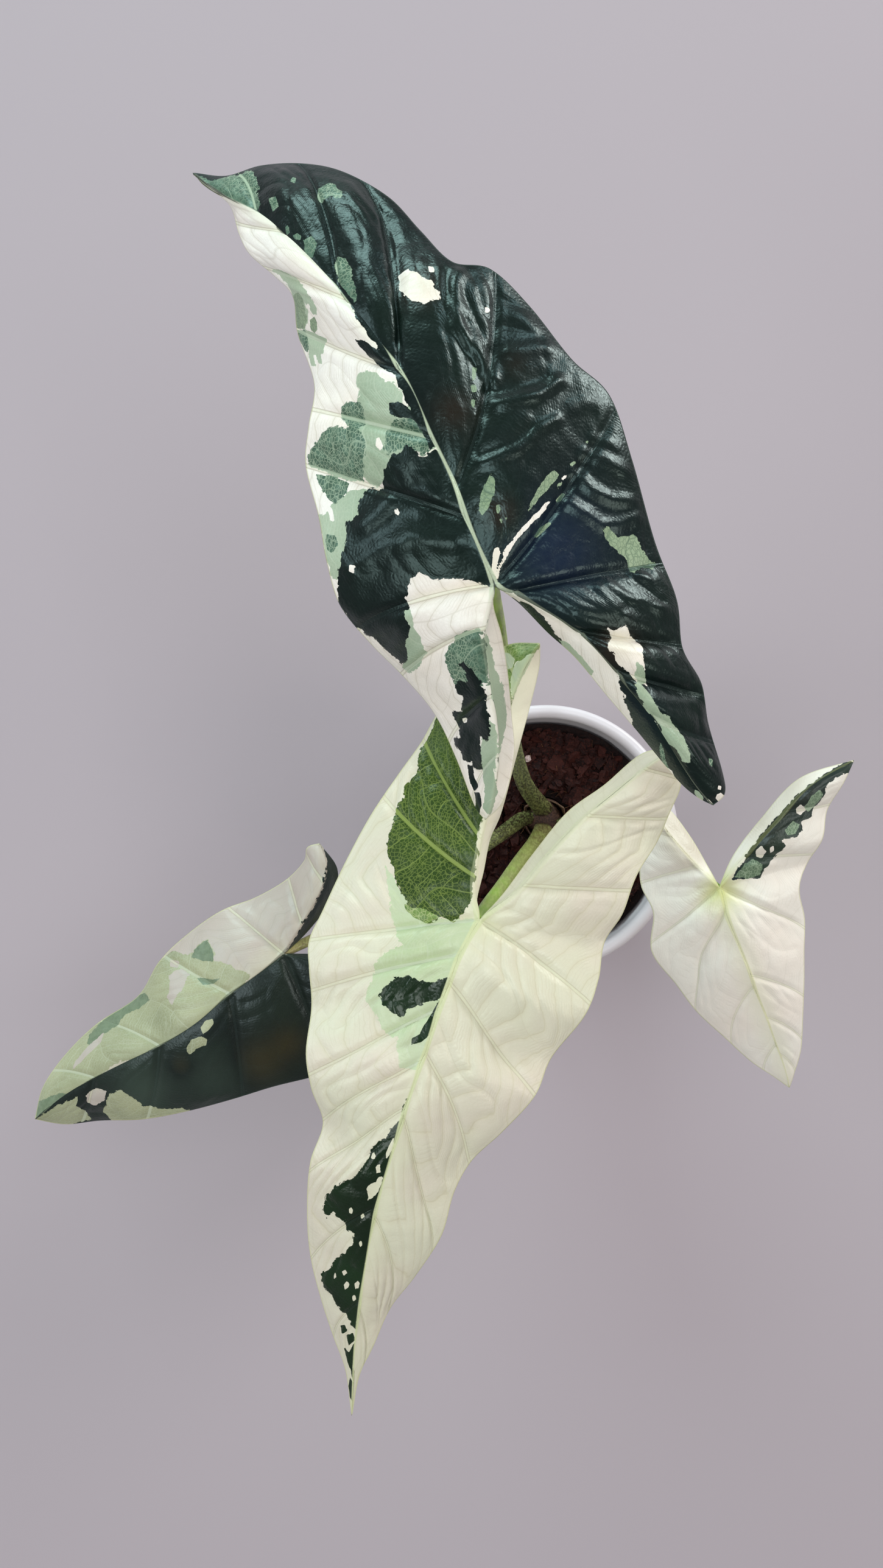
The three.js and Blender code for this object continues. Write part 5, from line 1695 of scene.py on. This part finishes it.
# %% [markdown]
# ## Floor and light
#
# The plant stands on a plain pale floor. What shows the puckers of a glossy dark leaf is not light from
# above but the mirror image of low bright windows on their slopes. So a ring of soft windows stands
# round the plant, cool ones behind it and warmer ones on the right. One soft light above and one on the
# left give the pale leaves their tone, and the sky is dim, so that the near-black stays near-black.

# %% Floor and light
FLOOR_REACH = 3000
corners = [(x * FLOOR_REACH, y * FLOOR_REACH, 0) for x, y in ((-1, -1), (1, -1), (1, 1), (-1, 1))]
floor = make_mesh("floor", corners, [(0, 1, 2, 3)])
material, add = new_finish("plain pale floor")
add("OutputMaterial", add("BsdfPrincipled", Base_Color="#B0A8AB", Roughness=0.8))
floor.data.materials.append(material)


def window_light(name, place_m, aim_m, size, power, tint):
    """A soft rectangle of light. It shines along its own -z, so it is tipped by acos(-z / length) of the
    way to its aim, and turned to face that way."""
    lamp = bpy.data.lights.new(name, "AREA")
    lamp.shape, lamp.size, lamp.size_y = "RECTANGLE", *size
    lamp.energy, lamp.color = power, linear(tint)[:3]
    holder = bpy.data.objects.new(name, lamp)
    holder.location = place_m
    way = np.array(aim_m) - np.array(place_m)
    tip = math.acos(-way[2] / np.linalg.norm(way))
    holder.rotation_euler = (tip, 0, math.atan2(way[1], way[0]) - math.pi / 2)
    bpy.context.scene.collection.objects.link(holder)


# Name, place and aim in metres, width and height in metres, power in watts, tint
for light in (
    ("ceiling", (0.25, 0.1, 1.9), (-0.02, 0.02, 0.3), (0.8, 0.7), 10, "#F4F7FF"),
    ("far window", (-0.51, 1.58, 0.7), (-0.03, 0.1, 0.35), (0.9, 0.42), 15, "#DCF2F4"),
    ("corner window", (0.76, 1.42, 0.8), (-0.02, 0.1, 0.35), (0.4, 0.26), 2.5, "#D8EEFA"),
    ("right window", (1.18, 1.15, 0.52), (-0.02, 0.07, 0.35), (0.44, 0.28), 12, "#F8F0F2"),
    ("front window", (1.2, -0.3, 1.12), (-0.02, 0.05, 0.33), (0.6, 0.5), 4.5, "#FFF1EC"),
    ("left window", (-1.05, -0.5, 1.42), (-0.05, 0.05, 0.3), (0.9, 0.8), 9, "#FBFAFF"),
    ("low window", (-1.45, 0.45, 0.84), (-0.05, 0.05, 0.33), (0.6, 0.4), 4, "#EAF3FF"),
):
    window_light(*light)
world = bpy.data.worlds.new("sky")
world.use_nodes = True
world.node_tree.nodes["Background"].inputs["Color"].default_value = linear("#DAD8DC")
world.node_tree.nodes["Background"].inputs["Strength"].default_value = 0.3
bpy.context.scene.world = world
bpy.context.scene.view_settings.view_transform = "Standard"
print("lights:", len(bpy.data.lights))
